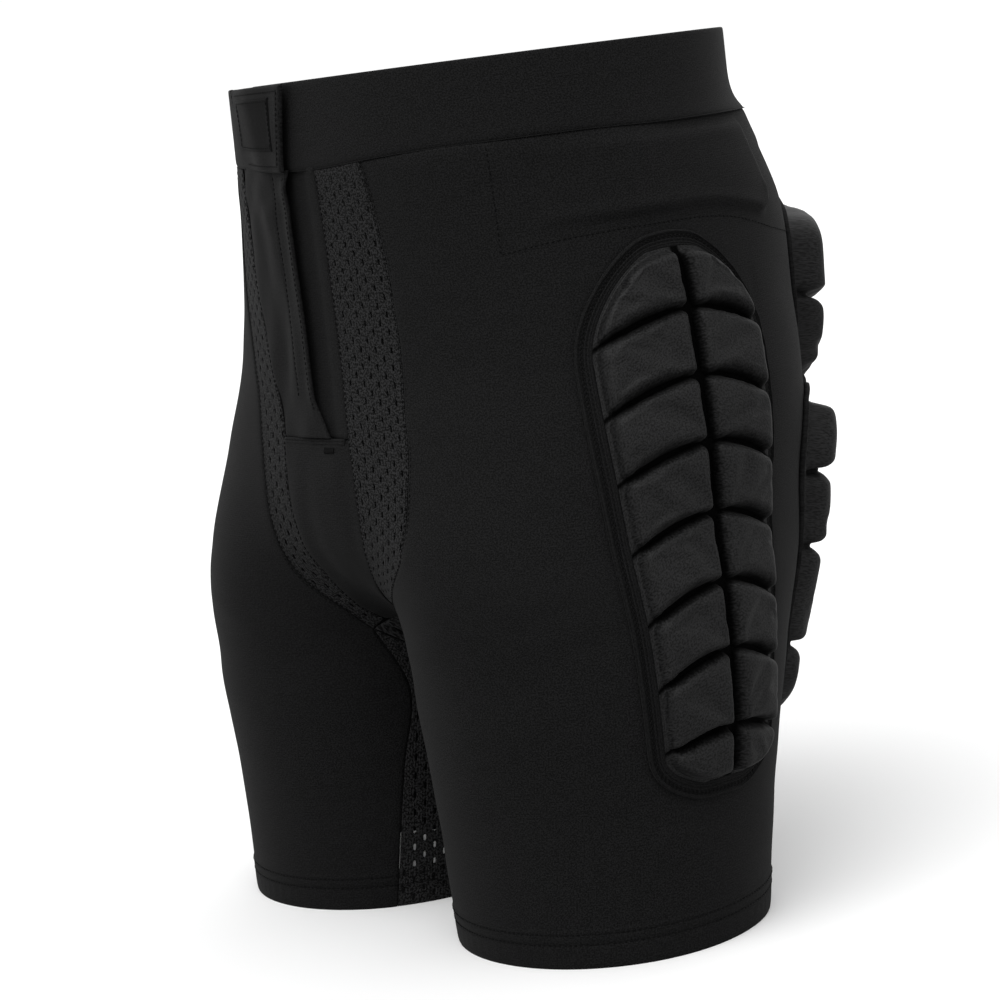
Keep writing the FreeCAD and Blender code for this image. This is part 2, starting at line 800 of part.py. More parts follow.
def fly_pieces():
    return {
        "fly_front_right": fly_front_right(),
        "fly_underlap": fly_underlap(),
        "pouch_welt": front_block(WELT_BOX, WELT, 13),
        "fly_bartack": front_block(BARTACK_BOX, BARTACK),
        "loop_tape": front_block(LOOP_TAPE_BOX, LOOP_TAPE),
        "hook_tape": front_block(HOOK_TAPE_BOX, HOOK_TAPE),
        "tab_lining": tab_layer(TAB_LINING),
        "tab_elastic": tab_layer(TAB_ELASTIC),
        "tab_outer": tab_layer(TAB_OUTER),
        "fly_flap": fly_flap(),
        "flap_facing": flap_facing(),
        "woven_label": front_block(LABEL_BOX, LABEL, 9),
    }


def paired_pieces():
    pieces = {
        "inner_thigh_mesh": inner_thigh_mesh(),
        "hem_turnup": leg_ring(SEAM_GAP, HEM_DEPTH, HEM_TURNUP),
        "hem_stitching": hem_stitching(),
        "iliac_pad_foam": side_patch(ILIAC_HEIGHTS, ILIAC_ANGLES, ILIAC_FOAM, ILIAC_BORDER),
        "iliac_pocket": side_patch(ILIAC_HEIGHTS, ILIAC_ANGLES, ILIAC_POCKET),
    }
    pieces.update(outer_pad("hip_pad", HIP_PAD))
    pieces.update(outer_pad("seat_pad", SEAT_PAD))
    return both_sides(pieces)


def main():
    os.makedirs("parts", exist_ok=True)
    shapes = {**shell_pieces(), **fly_pieces(), **paired_pieces()}
    shapes.update(outer_pad("tailbone_pad", TAIL_PAD))
    for name, shape in shapes.items():
        shape.translate(Vector(0, -MIDDLE_Y, 0))
        shape.exportStep(f"parts/{name}.step")


main()
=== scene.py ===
"""Looks of the padded impact shorts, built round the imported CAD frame."""

import json
import math

import bmesh
import bpy
import numpy as np
from mathutils import Matrix, Vector


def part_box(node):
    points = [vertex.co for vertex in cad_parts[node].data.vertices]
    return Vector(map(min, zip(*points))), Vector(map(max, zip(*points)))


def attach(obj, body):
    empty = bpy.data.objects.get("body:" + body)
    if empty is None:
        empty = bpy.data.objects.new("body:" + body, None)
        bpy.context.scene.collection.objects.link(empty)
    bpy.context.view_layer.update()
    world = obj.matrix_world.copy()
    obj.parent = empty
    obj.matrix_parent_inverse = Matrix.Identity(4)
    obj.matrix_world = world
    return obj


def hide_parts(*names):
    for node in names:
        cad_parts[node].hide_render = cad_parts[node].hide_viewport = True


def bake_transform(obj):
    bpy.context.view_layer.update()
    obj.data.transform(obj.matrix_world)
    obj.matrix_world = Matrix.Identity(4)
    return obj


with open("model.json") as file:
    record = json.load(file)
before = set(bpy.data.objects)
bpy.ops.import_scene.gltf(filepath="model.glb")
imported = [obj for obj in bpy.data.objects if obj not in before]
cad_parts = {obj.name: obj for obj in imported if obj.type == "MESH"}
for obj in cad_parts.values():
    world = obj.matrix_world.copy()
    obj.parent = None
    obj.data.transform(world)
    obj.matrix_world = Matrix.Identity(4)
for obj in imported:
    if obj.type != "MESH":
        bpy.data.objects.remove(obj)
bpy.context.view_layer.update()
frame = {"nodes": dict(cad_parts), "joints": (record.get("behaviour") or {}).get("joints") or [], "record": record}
rng = np.random.default_rng(7)

# ---- sizes, in millimetres, as the CAD has them --------------------------------------------
MM = 0.001
WAIST_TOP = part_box("waistband_outer")[1].z / MM
WAIST_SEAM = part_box("waistband_outer")[0].z / MM
hem_mount = next(m for m in frame["record"]["mounts"] if m["name"] == "left_hem")
HEM_AXIS_Y = 1.0  # the hems' own axis, in the frame that the tables below are given in
MIDDLE_Y = HEM_AXIS_Y - hem_mount["pos_m"][1] / MM
FABRIC = 1.0  # thickness of the shell's cloth

# Torso: height, half width, half depth, y of its middle
TORSO = (
    (200, 167, 123, 36),
    (250, 169, 125, 47),
    (296, 161, 122, 54),
    (345, 152, 122, 58),
    (390, 144, 115, 52),
    (433, 141, 111, 49),
)
TORSO_POWER = 2.3
SEAT_LEVEL = 240.0
CROTCH_LEVEL = 148.0
SEAT_BLEND = 26.0
CROTCH_BLEND = 14.0
# Leg: height, x of its axis, reach outward and inward of it, half depth, y of its axis
LEG = (
    (0, 94, 80, 79, 77, 1),
    (65, 92, 84, 82, 86, 8),
    (130, 91, 88, 86, 97, 15),
    (200, 86, 84, 82, 110, 29),
    (300, 70, 60, 60, 78, 46),
    (433, 60, 50, 50, 60, 45),
)
# Core that bearings are taken about: height, x, y
CORE = ((0, 94, 1), (65, 92, 8), (150, 90, 18), (200, 82, 30), (300, 74, 50), (433, 70, 45))
# Edges of the mesh strips: height, distance from the centre plane
LEFT_STRIP_INNER = (
    (150, 11), (163, 13), (178, 22), (197, 33), (217, 36), (237, 34),
    (256, 29), (294, 19.5), (324, 15.5), (358, 13), (391, 11),
)
LEFT_STRIP_OUTER = (
    (150, 20), (166, 30), (182, 52), (200, 72), (237, 75), (274, 67),
    (308, 62), (341, 57), (370, 51), (391, 46),
)
RIGHT_STRIP_INNER = ((150, 11), (163, 17), (190, 19), (210, 20), (230, 24), (262, 30),
                     (290, 47), (318, 59), (340, 66), (361, 70), (391, 72))
RIGHT_STRIP_OUTER = ((150, 20), (163, 26), (183, 38), (211, 45), (237, 50), (275, 63),
                     (290, 72), (318, 86), (340, 95), (361, 100), (391, 104))
STRIPS = {
    "left": (LEFT_STRIP_INNER, LEFT_STRIP_OUTER),
    "right": (RIGHT_STRIP_INNER, RIGHT_STRIP_OUTER),
}
CROTCH_SEAM = 150.0
CROTCH_RISE = 7.0
GUSSET_DIP = 27.0
GUSSET_ARCH = 12.0
GUSSET_TAIL = 190.0
GUSSET_BACK = 22.0
# Inner thigh seams: height, degrees from straight inward
INNER_FRONT = ((0, 36), (75, 32), (115, 29))
INNER_BACK = ((0, 32), (75, 29), (115, 27))
HEM_DEPTH = 20.0
HEM_STITCHES = (12.0, 17.0)
POUCH_SEAM = 256.0
FOLD_TOP_X = -78.0
FOLD_FOOT_X = -20.0
SAG = 4.5  # how far the waist seam hangs at the centre front
SIDE_LIFT = 1.5  # how far it rises at the sides
FREE_EDGE = (
    (256, 17), (265, 10), (273, 4), (276, 2.8), (295, -2.5),
    (323, -6.5), (352, -9.5), (391, -9.5), (431, -2),
)
LEFT_END_X = -40.0
ILIAC_HEIGHTS = (341.0, 386.0)
ILIAC_ANGLES = (-64.0, 40.0)
HIP_REACH = 88.0
HIP_SPINE_Y = (14.3, 0.0934)
HIP_SKEW = 0.087
HIP_TILT = 0.02
BLUNT = 2.0
# Outer pads. Each groove: row, height on the spine, half width, drop of its ends.
HIP = dict(
    grooves=(
        (0, 81, 33, 2),
        (1, 105.5, 34.5, 7.5),
        (2, 141, 36.5, 13.5),
        (3, 173, 38.5, 14.5),
        (4, 206, 40.2, 14.5),
        (5, 239, 41.8, 14.5),
        (6, 270, 43.5, 15),
        (7, 302, 45.5, 14.5),
        (8, 332, 46, 13),
    ),
    ends=(24.0, 36.0),
    height=7.0,
    band=0.87,
    rear_trim=0.55,
    groove_depth=1.0,
    soft=0.62,
    columns=1,
    skew=HIP_SKEW,
    tilt=HIP_TILT,
)
SEAT = dict(
    grooves=(
        (0, 79, 36, 4),
        (1, 119, 42, 5),
        (2, 168, 44, 7),
        (3, 206, 31, 6),
        (4, 244, 17, 6),
    ),
    ends=(30.0, 34.0),
    height=13.0,
    band=0.7,
    rear_trim=0.0,
    groove_depth=0.9,
    soft=0.9,
    columns=1,
    skew=0.0,
    tilt=-0.2,
)
TAIL = dict(
    grooves=((0, 190, 66, -36), (1, 222, 93, -38), (2, 264, 111, -32), (3, 341, 109, -24)),
    ends=(26.0, 52.0),
    height=17.5,
    band=0.7,
    rear_trim=0.0,
    groove_depth=0.9,
    soft=0.9,
    columns=2,
    skew=0.0,
    tilt=0.0,
)
SEAT_SPINE_X = ((79, 90), (119, 89), (168, 92), (206, 109), (244, 128))
TAIL_SPINE_X = ((190, 0), (341, 0))


# ---- the body form ---------------------------------------------------------------------------
def smooth(z, table, column):
    """Cubic curve through the rows of a table, at heights z."""
    at = np.array([row[0] for row in table], float)
    value = np.array([row[column] for row in table], float)
    slope = np.empty_like(value)
    slope[1:-1] = (value[2:] - value[:-2]) / (at[2:] - at[:-2])
    slope[0] = (value[1] - value[0]) / (at[1] - at[0])
    slope[-1] = (value[-1] - value[-2]) / (at[-1] - at[-2])
    z = np.clip(np.asarray(z, float), at[0], at[-1])
    i = np.clip(np.searchsorted(at, z, side="right") - 1, 0, len(at) - 2)
    step = at[i + 1] - at[i]
    t = (z - at[i]) / step
    start = (2 * t**3 - 3 * t**2 + 1) * value[i] + (t**3 - 2 * t**2 + t) * step * slope[i]
    end = (3 * t**2 - 2 * t**3) * value[i + 1] + (t**3 - t**2) * step * slope[i + 1]
    return start + end


def soft_min(a, b, radius):
    h = np.maximum(radius - np.abs(a - b), 0) / radius
    return np.minimum(a, b) - h * h * radius / 4


def body(p):
    """Distance outside the body at points p, negative inside."""
    x, y, z = p[..., 0], p[..., 1], p[..., 2]
    torso_z = np.maximum(z, TORSO[0][0])
    half_width, half_depth, mid_y = (smooth(torso_z, TORSO, i) for i in (1, 2, 3))
    below = np.maximum(SEAT_LEVEL - z, 0)
    power = TORSO_POWER
    ratio = (
        (np.abs(x) / half_width) ** power
        + (np.abs(y - mid_y) / half_depth) ** power
        + (below / (SEAT_LEVEL - CROTCH_LEVEL)) ** power
    ) ** (1 / power)
    reach_out = np.sqrt(x * x + (y - mid_y) ** 2 + below * below)
    torso = reach_out * (1 - 1 / np.maximum(ratio, 1e-6))
    leg_x, outer, inner, depth, leg_y = (smooth(z, LEG, i) for i in range(1, 6))

    def leg(side_x):
        dx, dy = side_x - leg_x, y - leg_y
        half = np.where(dx > 0, outer, inner)
        ratio = np.hypot(dx / half, dy / depth)
        return np.hypot(dx, dy) * (1 - 1 / np.maximum(ratio, 1e-6))

    return soft_min(torso, soft_min(leg(x), leg(-x), CROTCH_BLEND), SEAT_BLEND)


def gradient(p, h=0.5):
    steps = np.eye(3) * h
    return np.stack([(body(p + s) - body(p - s)) / (2 * h) for s in steps], -1)


def outward(p):
    g = gradient(p)
    return g / np.linalg.norm(g, axis=-1, keepdims=True)


def reach(start, direction):
    """Where lines from inside the body come out of it, or meet the centre plane."""
    start, direction = np.broadcast_arrays(np.asarray(start, float), np.asarray(direction, float))
    low = np.zeros(start.shape[:-1])
    high = np.full(start.shape[:-1], 220.0)
    inward = (start[..., 0] > 0) & (direction[..., 0] < -1e-9)
    limit = start[..., 0] / np.where(inward, -direction[..., 0], 1)
    high = np.where(inward, np.minimum(high, limit), high)
    for _ in range(28):
        middle = (low + high) / 2
        inside = body(start + direction * middle[..., None]) < 0
        low = np.where(inside, middle, low)
        high = np.where(inside, high, middle)
    return start + direction * low[..., None]


def stack(x, y, z):
    return np.stack(np.broadcast_arrays(x, y, z), -1).astype(float)


def front(x, z):
    return reach(stack(x, smooth(z, LEG, 5), z), (0, -1, 0))


def back(x, z):
    return reach(stack(x, smooth(z, LEG, 5), z), (0, 1, 0))


def around(z, angle):
    """Points of the left half at angles about its core; 0 is outward, 90 degrees is back."""
    z, angle = np.broadcast_arrays(np.asarray(z, float), np.asarray(angle, float))
    start = stack(smooth(z, CORE, 1), smooth(z, CORE, 2), z)
    return reach(start, stack(np.cos(angle), np.sin(angle), 0))


def bearing(p):
    """Angle of points about the core, as around() takes it."""
    x, y, z = p[..., 0], p[..., 1], p[..., 2]
    return np.arctan2(y - smooth(z, CORE, 2), x - smooth(z, CORE, 1))


def settle(p):
    for _ in range(12):
        slope = gradient(p)
        step = body(p) / np.maximum((slope * slope).sum(-1), 0.2)
        p = p - slope * step[..., None]
    return p


def mix(a, b, t):
    return a + (b - a) * t


def step_up(x):
    """0 below 0, 1 above 1, smooth between."""
    x = np.clip(x, 0, 1)
    return x * x * (3 - 2 * x)


def bump(x, middle, width):
    return np.exp(-(((x - middle) / width) ** 2))


# ---- smooth seeded noise -----------------------------------------------------------------------
NOISE_WAVES = 24
noise_axes = rng.normal(size=(NOISE_WAVES, 3))
noise_axes /= np.linalg.norm(noise_axes, axis=1, keepdims=True)
noise_phase = rng.uniform(0, 2 * math.pi, NOISE_WAVES)
noise_scale = rng.uniform(0.7, 1.6, NOISE_WAVES)


def noise(p, size):
    """Soft noise between about -1 and 1 with features about size mm across."""
    total = np.zeros(p.shape[:-1])
    for axis, phase, scale in zip(noise_axes, noise_phase, noise_scale):
        total += np.sin(p @ axis * (2 * math.pi * scale / (2.2 * size)) + phase)
    return total / math.sqrt(NOISE_WAVES)


# ---- meshes ------------------------------------------------------------------------------------
def waist_sag(p):
    """How far cloth near the waist seam hangs below its pattern: most at the front."""
    x, y, z = p[..., 0], p[..., 1], p[..., 2]
    near = bump(z, WAIST_SEAM, 22)
    ahead = step_up((60 - y) / 60)
    return near * ahead * (SAG * bump(x, 0, 58) - SIDE_LIFT)


def to_frame(p):
    """Millimetres about the leg axis to metres in the row frame."""
    p = np.array(p, float)
    p[..., 2] -= waist_sag(p)
    return (p - np.array([0, MIDDLE_Y, 0])) * MM


def make_mesh(name, verts, faces, uv=None, groove_shade_mask=None):
    """Object from points in millimetres; uv is per vertex, in millimetres of cloth."""
    mesh = bpy.data.meshes.new(name)
    mesh.from_pydata(to_frame(verts).tolist(), [], [tuple(f) for f in faces])
    mesh.validate()
    if uv is not None:
        layer = mesh.uv_layers.new(name="cloth")
        index = np.empty(len(mesh.loops), np.int32)
        mesh.loops.foreach_get("vertex_index", index)
        layer.data.foreach_set("uv", np.asarray(uv, np.float32)[index].ravel())
    # Per-vertex mask for the shade painted into a pad cover's grooves.
    if groove_shade_mask is not None:
        attribute = mesh.attributes.new("groove_shade_mask", "FLOAT", "POINT")
        attribute.data.foreach_set("value", np.asarray(groove_shade_mask, np.float32).ravel())
    mesh.polygons.foreach_set("use_smooth", np.ones(len(mesh.polygons), bool))
    obj = bpy.data.objects.new(name, mesh)
    bpy.context.scene.collection.objects.link(obj)
    return obj


def grid_faces(rows, columns, wrap=False):
    """Quads of a grid of vertices; wrap joins the last column to the first."""
    steps = columns if wrap else columns - 1
    i, j = np.meshgrid(np.arange(rows - 1), np.arange(steps), indexing="ij")
    k = (j + 1) % columns
    low, high = i * columns, (i + 1) * columns
    return np.stack([low + j, low + k, high + k, high + j], -1).reshape(-1, 4)


def border_loop(rows, columns):
    """Vertex numbers round the edge of a grid, in order."""
    low = np.arange(columns)
    right = np.arange(1, rows) * columns + columns - 1
    top = (rows - 1) * columns + np.arange(columns - 2, -1, -1)
    left = np.arange(rows - 2, 0, -1) * columns
    return np.concatenate([low, right, top, left])


def facing(grid, normal):
    """True if the grid's own faces point the way of its outward normals."""
    r, c = grid.shape[0] // 2, grid.shape[1] // 2
    across = grid[r, min(c + 1, grid.shape[1] - 1)] - grid[r, c - 1]
    up = grid[min(r + 1, grid.shape[0] - 1), c] - grid[r - 1, c]
    return np.dot(np.cross(across, up), normal[r, c]) > 0


def row_runs(points):
    """Distance along each row of a grid of points, from the row's start."""
    along = np.linalg.norm(np.diff(points, axis=1), axis=-1)
    return np.concatenate([np.zeros((points.shape[0], 1)), np.cumsum(along, 1)], 1)


def path_run(path):
    """Distance along a path at each of its points."""
    return np.concatenate([[0], np.cumsum(np.linalg.norm(np.diff(path, axis=0), axis=1))])


def columns_of(path, at, run):
    """Points of a path read at distances along it."""
    return np.stack([np.interp(at, run, path[:, i]) for i in range(path.shape[1])], 1)


def cloth_uv(points):
    """Distances along a sheet in millimetres, so that weaves keep one scale."""
    u = row_runs(points)
    u -= u[:, u.shape[1] // 2][:, None]
    middle = points[:, points.shape[1] // 2]
    v = np.broadcast_to(path_run(middle)[:, None], u.shape)
    return np.stack([u, v], -1)


def closed_sheet(name, outer, inner, flip, uv, groove_shade_mask=None):
    """Closed mesh from two grids of points, one outside the other."""
    rows, columns = outer.shape[:2]
    count = rows * columns
    top = grid_faces(rows, columns)
    loop = border_loop(rows, columns)
    after = np.roll(loop, -1)
    rim = np.stack([loop, loop + count, after + count, after], -1)
    faces = np.concatenate([top, top[:, ::-1] + count, rim])
    if flip:
        faces = faces[:, ::-1]
    points = np.concatenate([outer.reshape(-1, 3), inner.reshape(-1, 3)])
    both = np.concatenate([uv.reshape(-1, 2)] * 2)
    return make_mesh(name, points, faces.tolist(), both, groove_shade_mask)


def thick_sheet(name, base, normal, high, low):
    """Closed sheet between two heights above a grid of surface points."""
    high, low = (np.broadcast_to(np.asarray(h, float), base.shape[:2]) for h in (high, low))
    outer = base + normal * high[..., None]
    inner = base + normal * low[..., None]
    return closed_sheet(name, outer, inner, not facing(base, normal), cloth_uv(base))


def flip_x(p):
    return p * np.array([-1, 1, 1])


def edge_steps(length, step, fine=(0.0, 0.35, 0.8, 1.5)):
    """Shares from 0 to 1 along a length in mm, with close steps at both ends."""
    near = np.array(fine) / length
    start = fine[-1] / length + step / length
    count = max(int(length / step), 4)
    return np.concatenate([near, np.linspace(start, 1 - start, count), 1 - near[::-1]])


def edge_distance(points):
    """Distance in mm from each grid point to the nearer end of its row."""
    run = row_runs(points)
    return np.minimum(run, run[:, -1:] - run)


def mirror_if(side, *arrays):
    """The arrays as they are for the wearer's left, or mirrored for the right."""
    return arrays if side == "left" else tuple(flip_x(a) for a in arrays)


# ---- slotted mesh --------------------------------------------------------------------------------
SLOT_ACROSS = 10.8  # between slots in a row
SLOT_ROW = 4.3
SLOT_SHIFT = SLOT_ACROSS / 2  # every second row is shifted by a half
SLOT_SIZE = (1.4, 3.6)
SLOT_BORDER = 1.7  # plain cloth kept along every seam


def slot_field(uv):
    """Distance outside the nearest slot at each point, negative inside a slot."""
    left, right = uv[:, 0, 0], uv[:, -1, 0]
    levels = uv[:, 0, 1]
    radius = SLOT_SIZE[0] / 2
    reach_v = SLOT_SIZE[1] / 2 - radius
    best = np.full(uv.shape[:2], 9.0)
    row = np.round(uv[..., 1] / SLOT_ROW)
    for step in (-1, 0, 1):
        r = row + step
        middle_v = r * SLOT_ROW
        shift = np.mod(r, 2) * SLOT_SHIFT
        middle_u = np.round((uv[..., 0] - shift) / SLOT_ACROSS) * SLOT_ACROSS + shift
        edge_l = np.interp(middle_v, levels, left) + SLOT_BORDER + radius
        edge_r = np.interp(middle_v, levels, right) - SLOT_BORDER - radius
        room = (middle_u > edge_l) & (middle_u < edge_r)
        room &= (middle_v - SLOT_SIZE[1] / 2 - SLOT_BORDER > levels[0])
        room &= (middle_v + SLOT_SIZE[1] / 2 + SLOT_BORDER < levels[-1])
        du = uv[..., 0] - middle_u
        dv = np.maximum(np.abs(uv[..., 1] - middle_v) - reach_v, 0)
        distance = np.hypot(du, dv) - radius
        best = np.where(room, np.minimum(best, distance), best)
    return best


def slotted_sheet(name, base, normal, high, low):
    """Closed sheet with open slots, cut along the slots' outlines."""
    rows, columns = base.shape[:2]
    count = rows * columns
    uv = cloth_uv(base)
    field = slot_field(uv).ravel()
    keep = field > 0
    dimple = 0.25 * np.exp(-np.maximum(field, 0) / 0.6)
    flat_base, flat_normal, flat_uv = base.reshape(-1, 3), normal.reshape(-1, 3), uv.reshape(-1, 2)
    outer = flat_base + flat_normal * (high - dimple)[:, None]
    inner = flat_base + flat_normal * low
    quads = grid_faces(rows, columns)
    inside = keep[quads].sum(1)
    top = quads[inside == 4].tolist()
    extra_outer, extra_inner, extra_uv = [], [], []
    cut = {}

    def cut_vertex(a, b):
        key = (min(a, b), max(a, b))
        if key not in cut:
            a, b = key
            t = field[a] / (field[a] - field[b])
            cut[key] = len(extra_outer)
            extra_outer.append(outer[a] + (outer[b] - outer[a]) * t)
            extra_inner.append(inner[a] + (inner[b] - inner[a]) * t)
            extra_uv.append(flat_uv[a] + (flat_uv[b] - flat_uv[a]) * t)
        return count + cut[key]

    walls = []
    for quad in quads[(inside > 0) & (inside < 4)].tolist():
        shape, ends = [], []
        for a, b in zip(quad, quad[1:] + quad[:1]):
            if keep[a]:
                shape.append(a)
            if keep[a] != keep[b]:
                shape.append(cut_vertex(a, b))
                ends.append((shape[-1], bool(keep[a])))
        top.append(shape)
        if len(ends) == 2:
            out = ends[0][0] if ends[0][1] else ends[1][0]
            back_in = ends[1][0] if ends[0][1] else ends[0][0]
            walls.append((out, back_in))
    total = count + len(extra_outer)
    points = np.concatenate([outer, extra_outer, inner, extra_inner])
    bottom = [[i + total for i in reversed(face)] for face in top]
    loop = border_loop(rows, columns).tolist()
    rim = [[a, a + total, b + total, b] for a, b in walls + list(zip(loop, loop[1:] + loop[:1]))]
    faces = top + bottom + rim
    if not facing(base, normal):
        faces = [f[::-1] for f in faces]
    both_uv = np.concatenate([flat_uv, extra_uv])
    mesh_uv = np.concatenate([both_uv, both_uv])
    return drop_loose(make_mesh(name, points, faces, mesh_uv))


def drop_loose(obj):
    """Removes vertices that no face uses."""
    mesh = obj.data
    used = np.zeros(len(mesh.vertices), bool)
    index = np.empty(len(mesh.loops), np.int32)
    mesh.loops.foreach_get("vertex_index", index)
    used[index] = True
    work = bmesh.new()
    work.from_mesh(mesh)
    work.verts.ensure_lookup_table()
    loose = [work.verts[i] for i in np.flatnonzero(~used).tolist()]
    bmesh.ops.delete(work, geom=loose, context="VERTS")
    work.to_mesh(mesh)
    work.free()
    return obj


# ---- stitches --------------------------------------------------------------------------------
# Profile of a thread: share of its half length, share of its half width
STITCH_RINGS = np.array(
    [(-1.0, 0.0), (-0.86, 0.62), (-0.4, 0.96), (0.4, 0.96), (0.86, 0.62), (1.0, 0.0)]
)
STITCH_SIDES = 6


def resample(path, path_normal, pitch):
    """Points, directions and outward normals along a path at an even pitch."""
    run = path_run(path)
    count = max(int(run[-1] / pitch), 1)
    at = (np.arange(count) + 0.5) * run[-1] / count
    along = columns_of(path, at + 0.4, run) - columns_of(path, at - 0.4, run)
    along = along / np.maximum(np.linalg.norm(along, axis=1, keepdims=True), 1e-9)
    return columns_of(path, at, run), along, columns_of(path_normal, at, run)


def stitches(name, rows, pitch=2.6, length=1.9, width=0.55, sink=0.1):
    """Threads laid along paths; each row is a (points, outward normals) pair of arrays."""
    angle = np.arange(STITCH_SIDES) * 2 * math.pi / STITCH_SIDES
    ring = STITCH_RINGS[:, None]
    unit_along = np.broadcast_to(ring[..., 0], (len(STITCH_RINGS), STITCH_SIDES)) * length / 2
    unit_side = ring[..., 1] * np.cos(angle) * width / 2
    unit_up = ring[..., 1] * np.sin(angle) * width / 2 + width / 2 - sink
    size = unit_along.size
    verts, faces, uvs, first = [], [], [], 0
    tube = grid_faces(len(STITCH_RINGS), STITCH_SIDES, wrap=True)[:, ::-1]
    flat = np.stack([unit_along.ravel(), np.tile(angle, len(STITCH_RINGS)) * width / 2], 1)
    for path, path_normal in rows:
        points, along, up = resample(path, path_normal, pitch)
        side = np.cross(up, along)
        side /= np.maximum(np.linalg.norm(side, axis=1, keepdims=True), 1e-9)
        block = points[:, None]
        for direction, unit in ((along, unit_along), (side, unit_side), (up, unit_up)):
            block = block + direction[:, None] * unit.reshape(1, -1, 1)
        verts.append(block.reshape(-1, 3))
        starts = first + np.arange(len(points)) * size
        faces.append((tube[None] + starts[:, None, None]).reshape(-1, 4))
        uvs.append(np.tile(flat, (len(points), 1)))
        first += len(points) * size
    verts, faces, uvs = (np.concatenate(parts) for parts in (verts, faces, uvs))
    return weld(make_mesh(name, verts, faces.tolist(), uvs))


def weld(obj, distance=1e-6):
    """Joins vertices that lie on one spot, such as the pinched ends of a thread."""
    work = bmesh.new()
    work.from_mesh(obj.data)
    bmesh.ops.remove_doubles(work, verts=work.verts[:], dist=distance)
    bmesh.ops.dissolve_degenerate(work, edges=work.edges[:], dist=distance)
    work.to_mesh(obj.data)
    work.free()
    return obj


# ---- materials ---------------------------------------------------------------------------------
def shader(name):
    """An empty node material and a short way to add nodes to it."""
    material = bpy.data.materials.new(name)
    material.use_nodes = True
    tree = material.node_tree
    tree.nodes.clear()

    def node(kind, **values):
        made = tree.nodes.new(f"ShaderNode{kind}")
        for key, value in values.items():
            if key.startswith("p_"):
                setattr(made, key[2:], value)
            else:
                slot = made.inputs[key.replace("_", " ")]
                if isinstance(value, bpy.types.NodeSocket):
                    tree.links.new(value, slot)
                else:
                    slot.default_value = value
        return made

    return material, tree, node


def cloth_coordinates(node, from_uv):
    """Millimetres along the cloth where a piece has them, otherwise millimetres in space."""
    coordinates = node("TexCoord")
    if from_uv:
        return coordinates.outputs["UV"]
    in_mm = node("VectorMath", p_operation="SCALE", Scale=1 / MM)
    in_mm.id_data.links.new(coordinates.outputs["Object"], in_mm.inputs[0])
    return in_mm.outputs[0]


def waves(node, place, period, direction):
    """Bands of one period in mm, from 0 to 1."""
    return node(
        "TexWave", p_wave_type="BANDS", p_bands_direction=direction, Vector=place,
        Scale=2 * math.pi / 20 / period, Distortion=0.0,
    ).outputs["Fac"]


def grain(node, place, size, detail):
    """Noise with features of one size in mm."""
    made = node("TexNoise", Vector=place, Scale=1 / size, Detail=detail, Roughness=0.6)
    return made.outputs["Fac"]


def fill(made, number, value):
    """Sets one input of a node, or joins another node's output to it."""
    if isinstance(value, bpy.types.NodeSocket):
        made.id_data.links.new(value, made.inputs[number])
    else:
        made.inputs[number].default_value = value


def combine(node, operation, a, b):
    made = node("Math", p_operation=operation)
    fill(made, 0, a)
    fill(made, 1, b)
    return made.outputs[0]


def add(node, a, b):
    return combine(node, "ADD", a, b)


def scaled(node, value, factor):
    return combine(node, "MULTIPLY", value, factor)


def shades(node, factor, dark, light):
    """Colour between a dark and a light shade, each given as a colour or as a node's output."""
    mixed = node("Mix", p_data_type="RGBA")
    for number, value in ((0, factor), (6, dark), (7, light)):
        fill(mixed, number, (*value, 1) if isinstance(value, tuple) else value)
    return mixed.outputs[2]


def speckle(node, noise_value, strength):
    """Noise about 0, for adding to a tone."""
    return scaled(node, combine(node, "SUBTRACT", noise_value, 0.5), strength)


def surface_of(tree, node, **values):
    """Joins a plain surface with the given values to a material's output."""
    surface = node("BsdfPrincipled", **values)
    tree.links.new(surface.outputs[0], node("OutputMaterial").inputs["Surface"])


def cloth(
    name, dark, light, rough, ribs, rib_height, mottle,
    sheen=0.1, from_uv=True, gloss=0.11, fleck=4.0, grit=0.8,
):
    """Woven or knitted cloth: two sets of ribs, a soft mottle and fine fibre grain.

    ribs is the pair of rib periods in mm, across and along the cloth. mottle and grit are the
    sizes in mm of its soft patches and of its fleck.
    """
    material, tree, node = shader(name)
    place = cloth_coordinates(node, from_uv)
    across = waves(node, place, ribs[0], "X")
    along = waves(node, place, ribs[1], "Y")
    knit = scaled(node, across, add(node, scaled(node, along, 0.5), 0.5))
    fibre = grain(node, place, grit, 1.0)
    patch = grain(node, place, mottle, 2.0)
    tone = add(node, scaled(node, knit, 0.25), scaled(node, patch, 0.75))
    tone = add(node, tone, speckle(node, fibre, fleck))
    height = add(node, knit, scaled(node, fibre, 0.6))
    raised = node("Bump", Strength=0.55, Distance=rib_height * MM, Height=height)
    surface_of(
        tree, node, Base_Color=shades(node, tone, dark, light), Normal=raised.outputs[0],
        Roughness=add(node, scaled(node, patch, 0.12), rough - 0.06),
        Sheen_Weight=sheen, Sheen_Roughness=0.45, Specular_IOR_Level=gloss,
    )
    return material


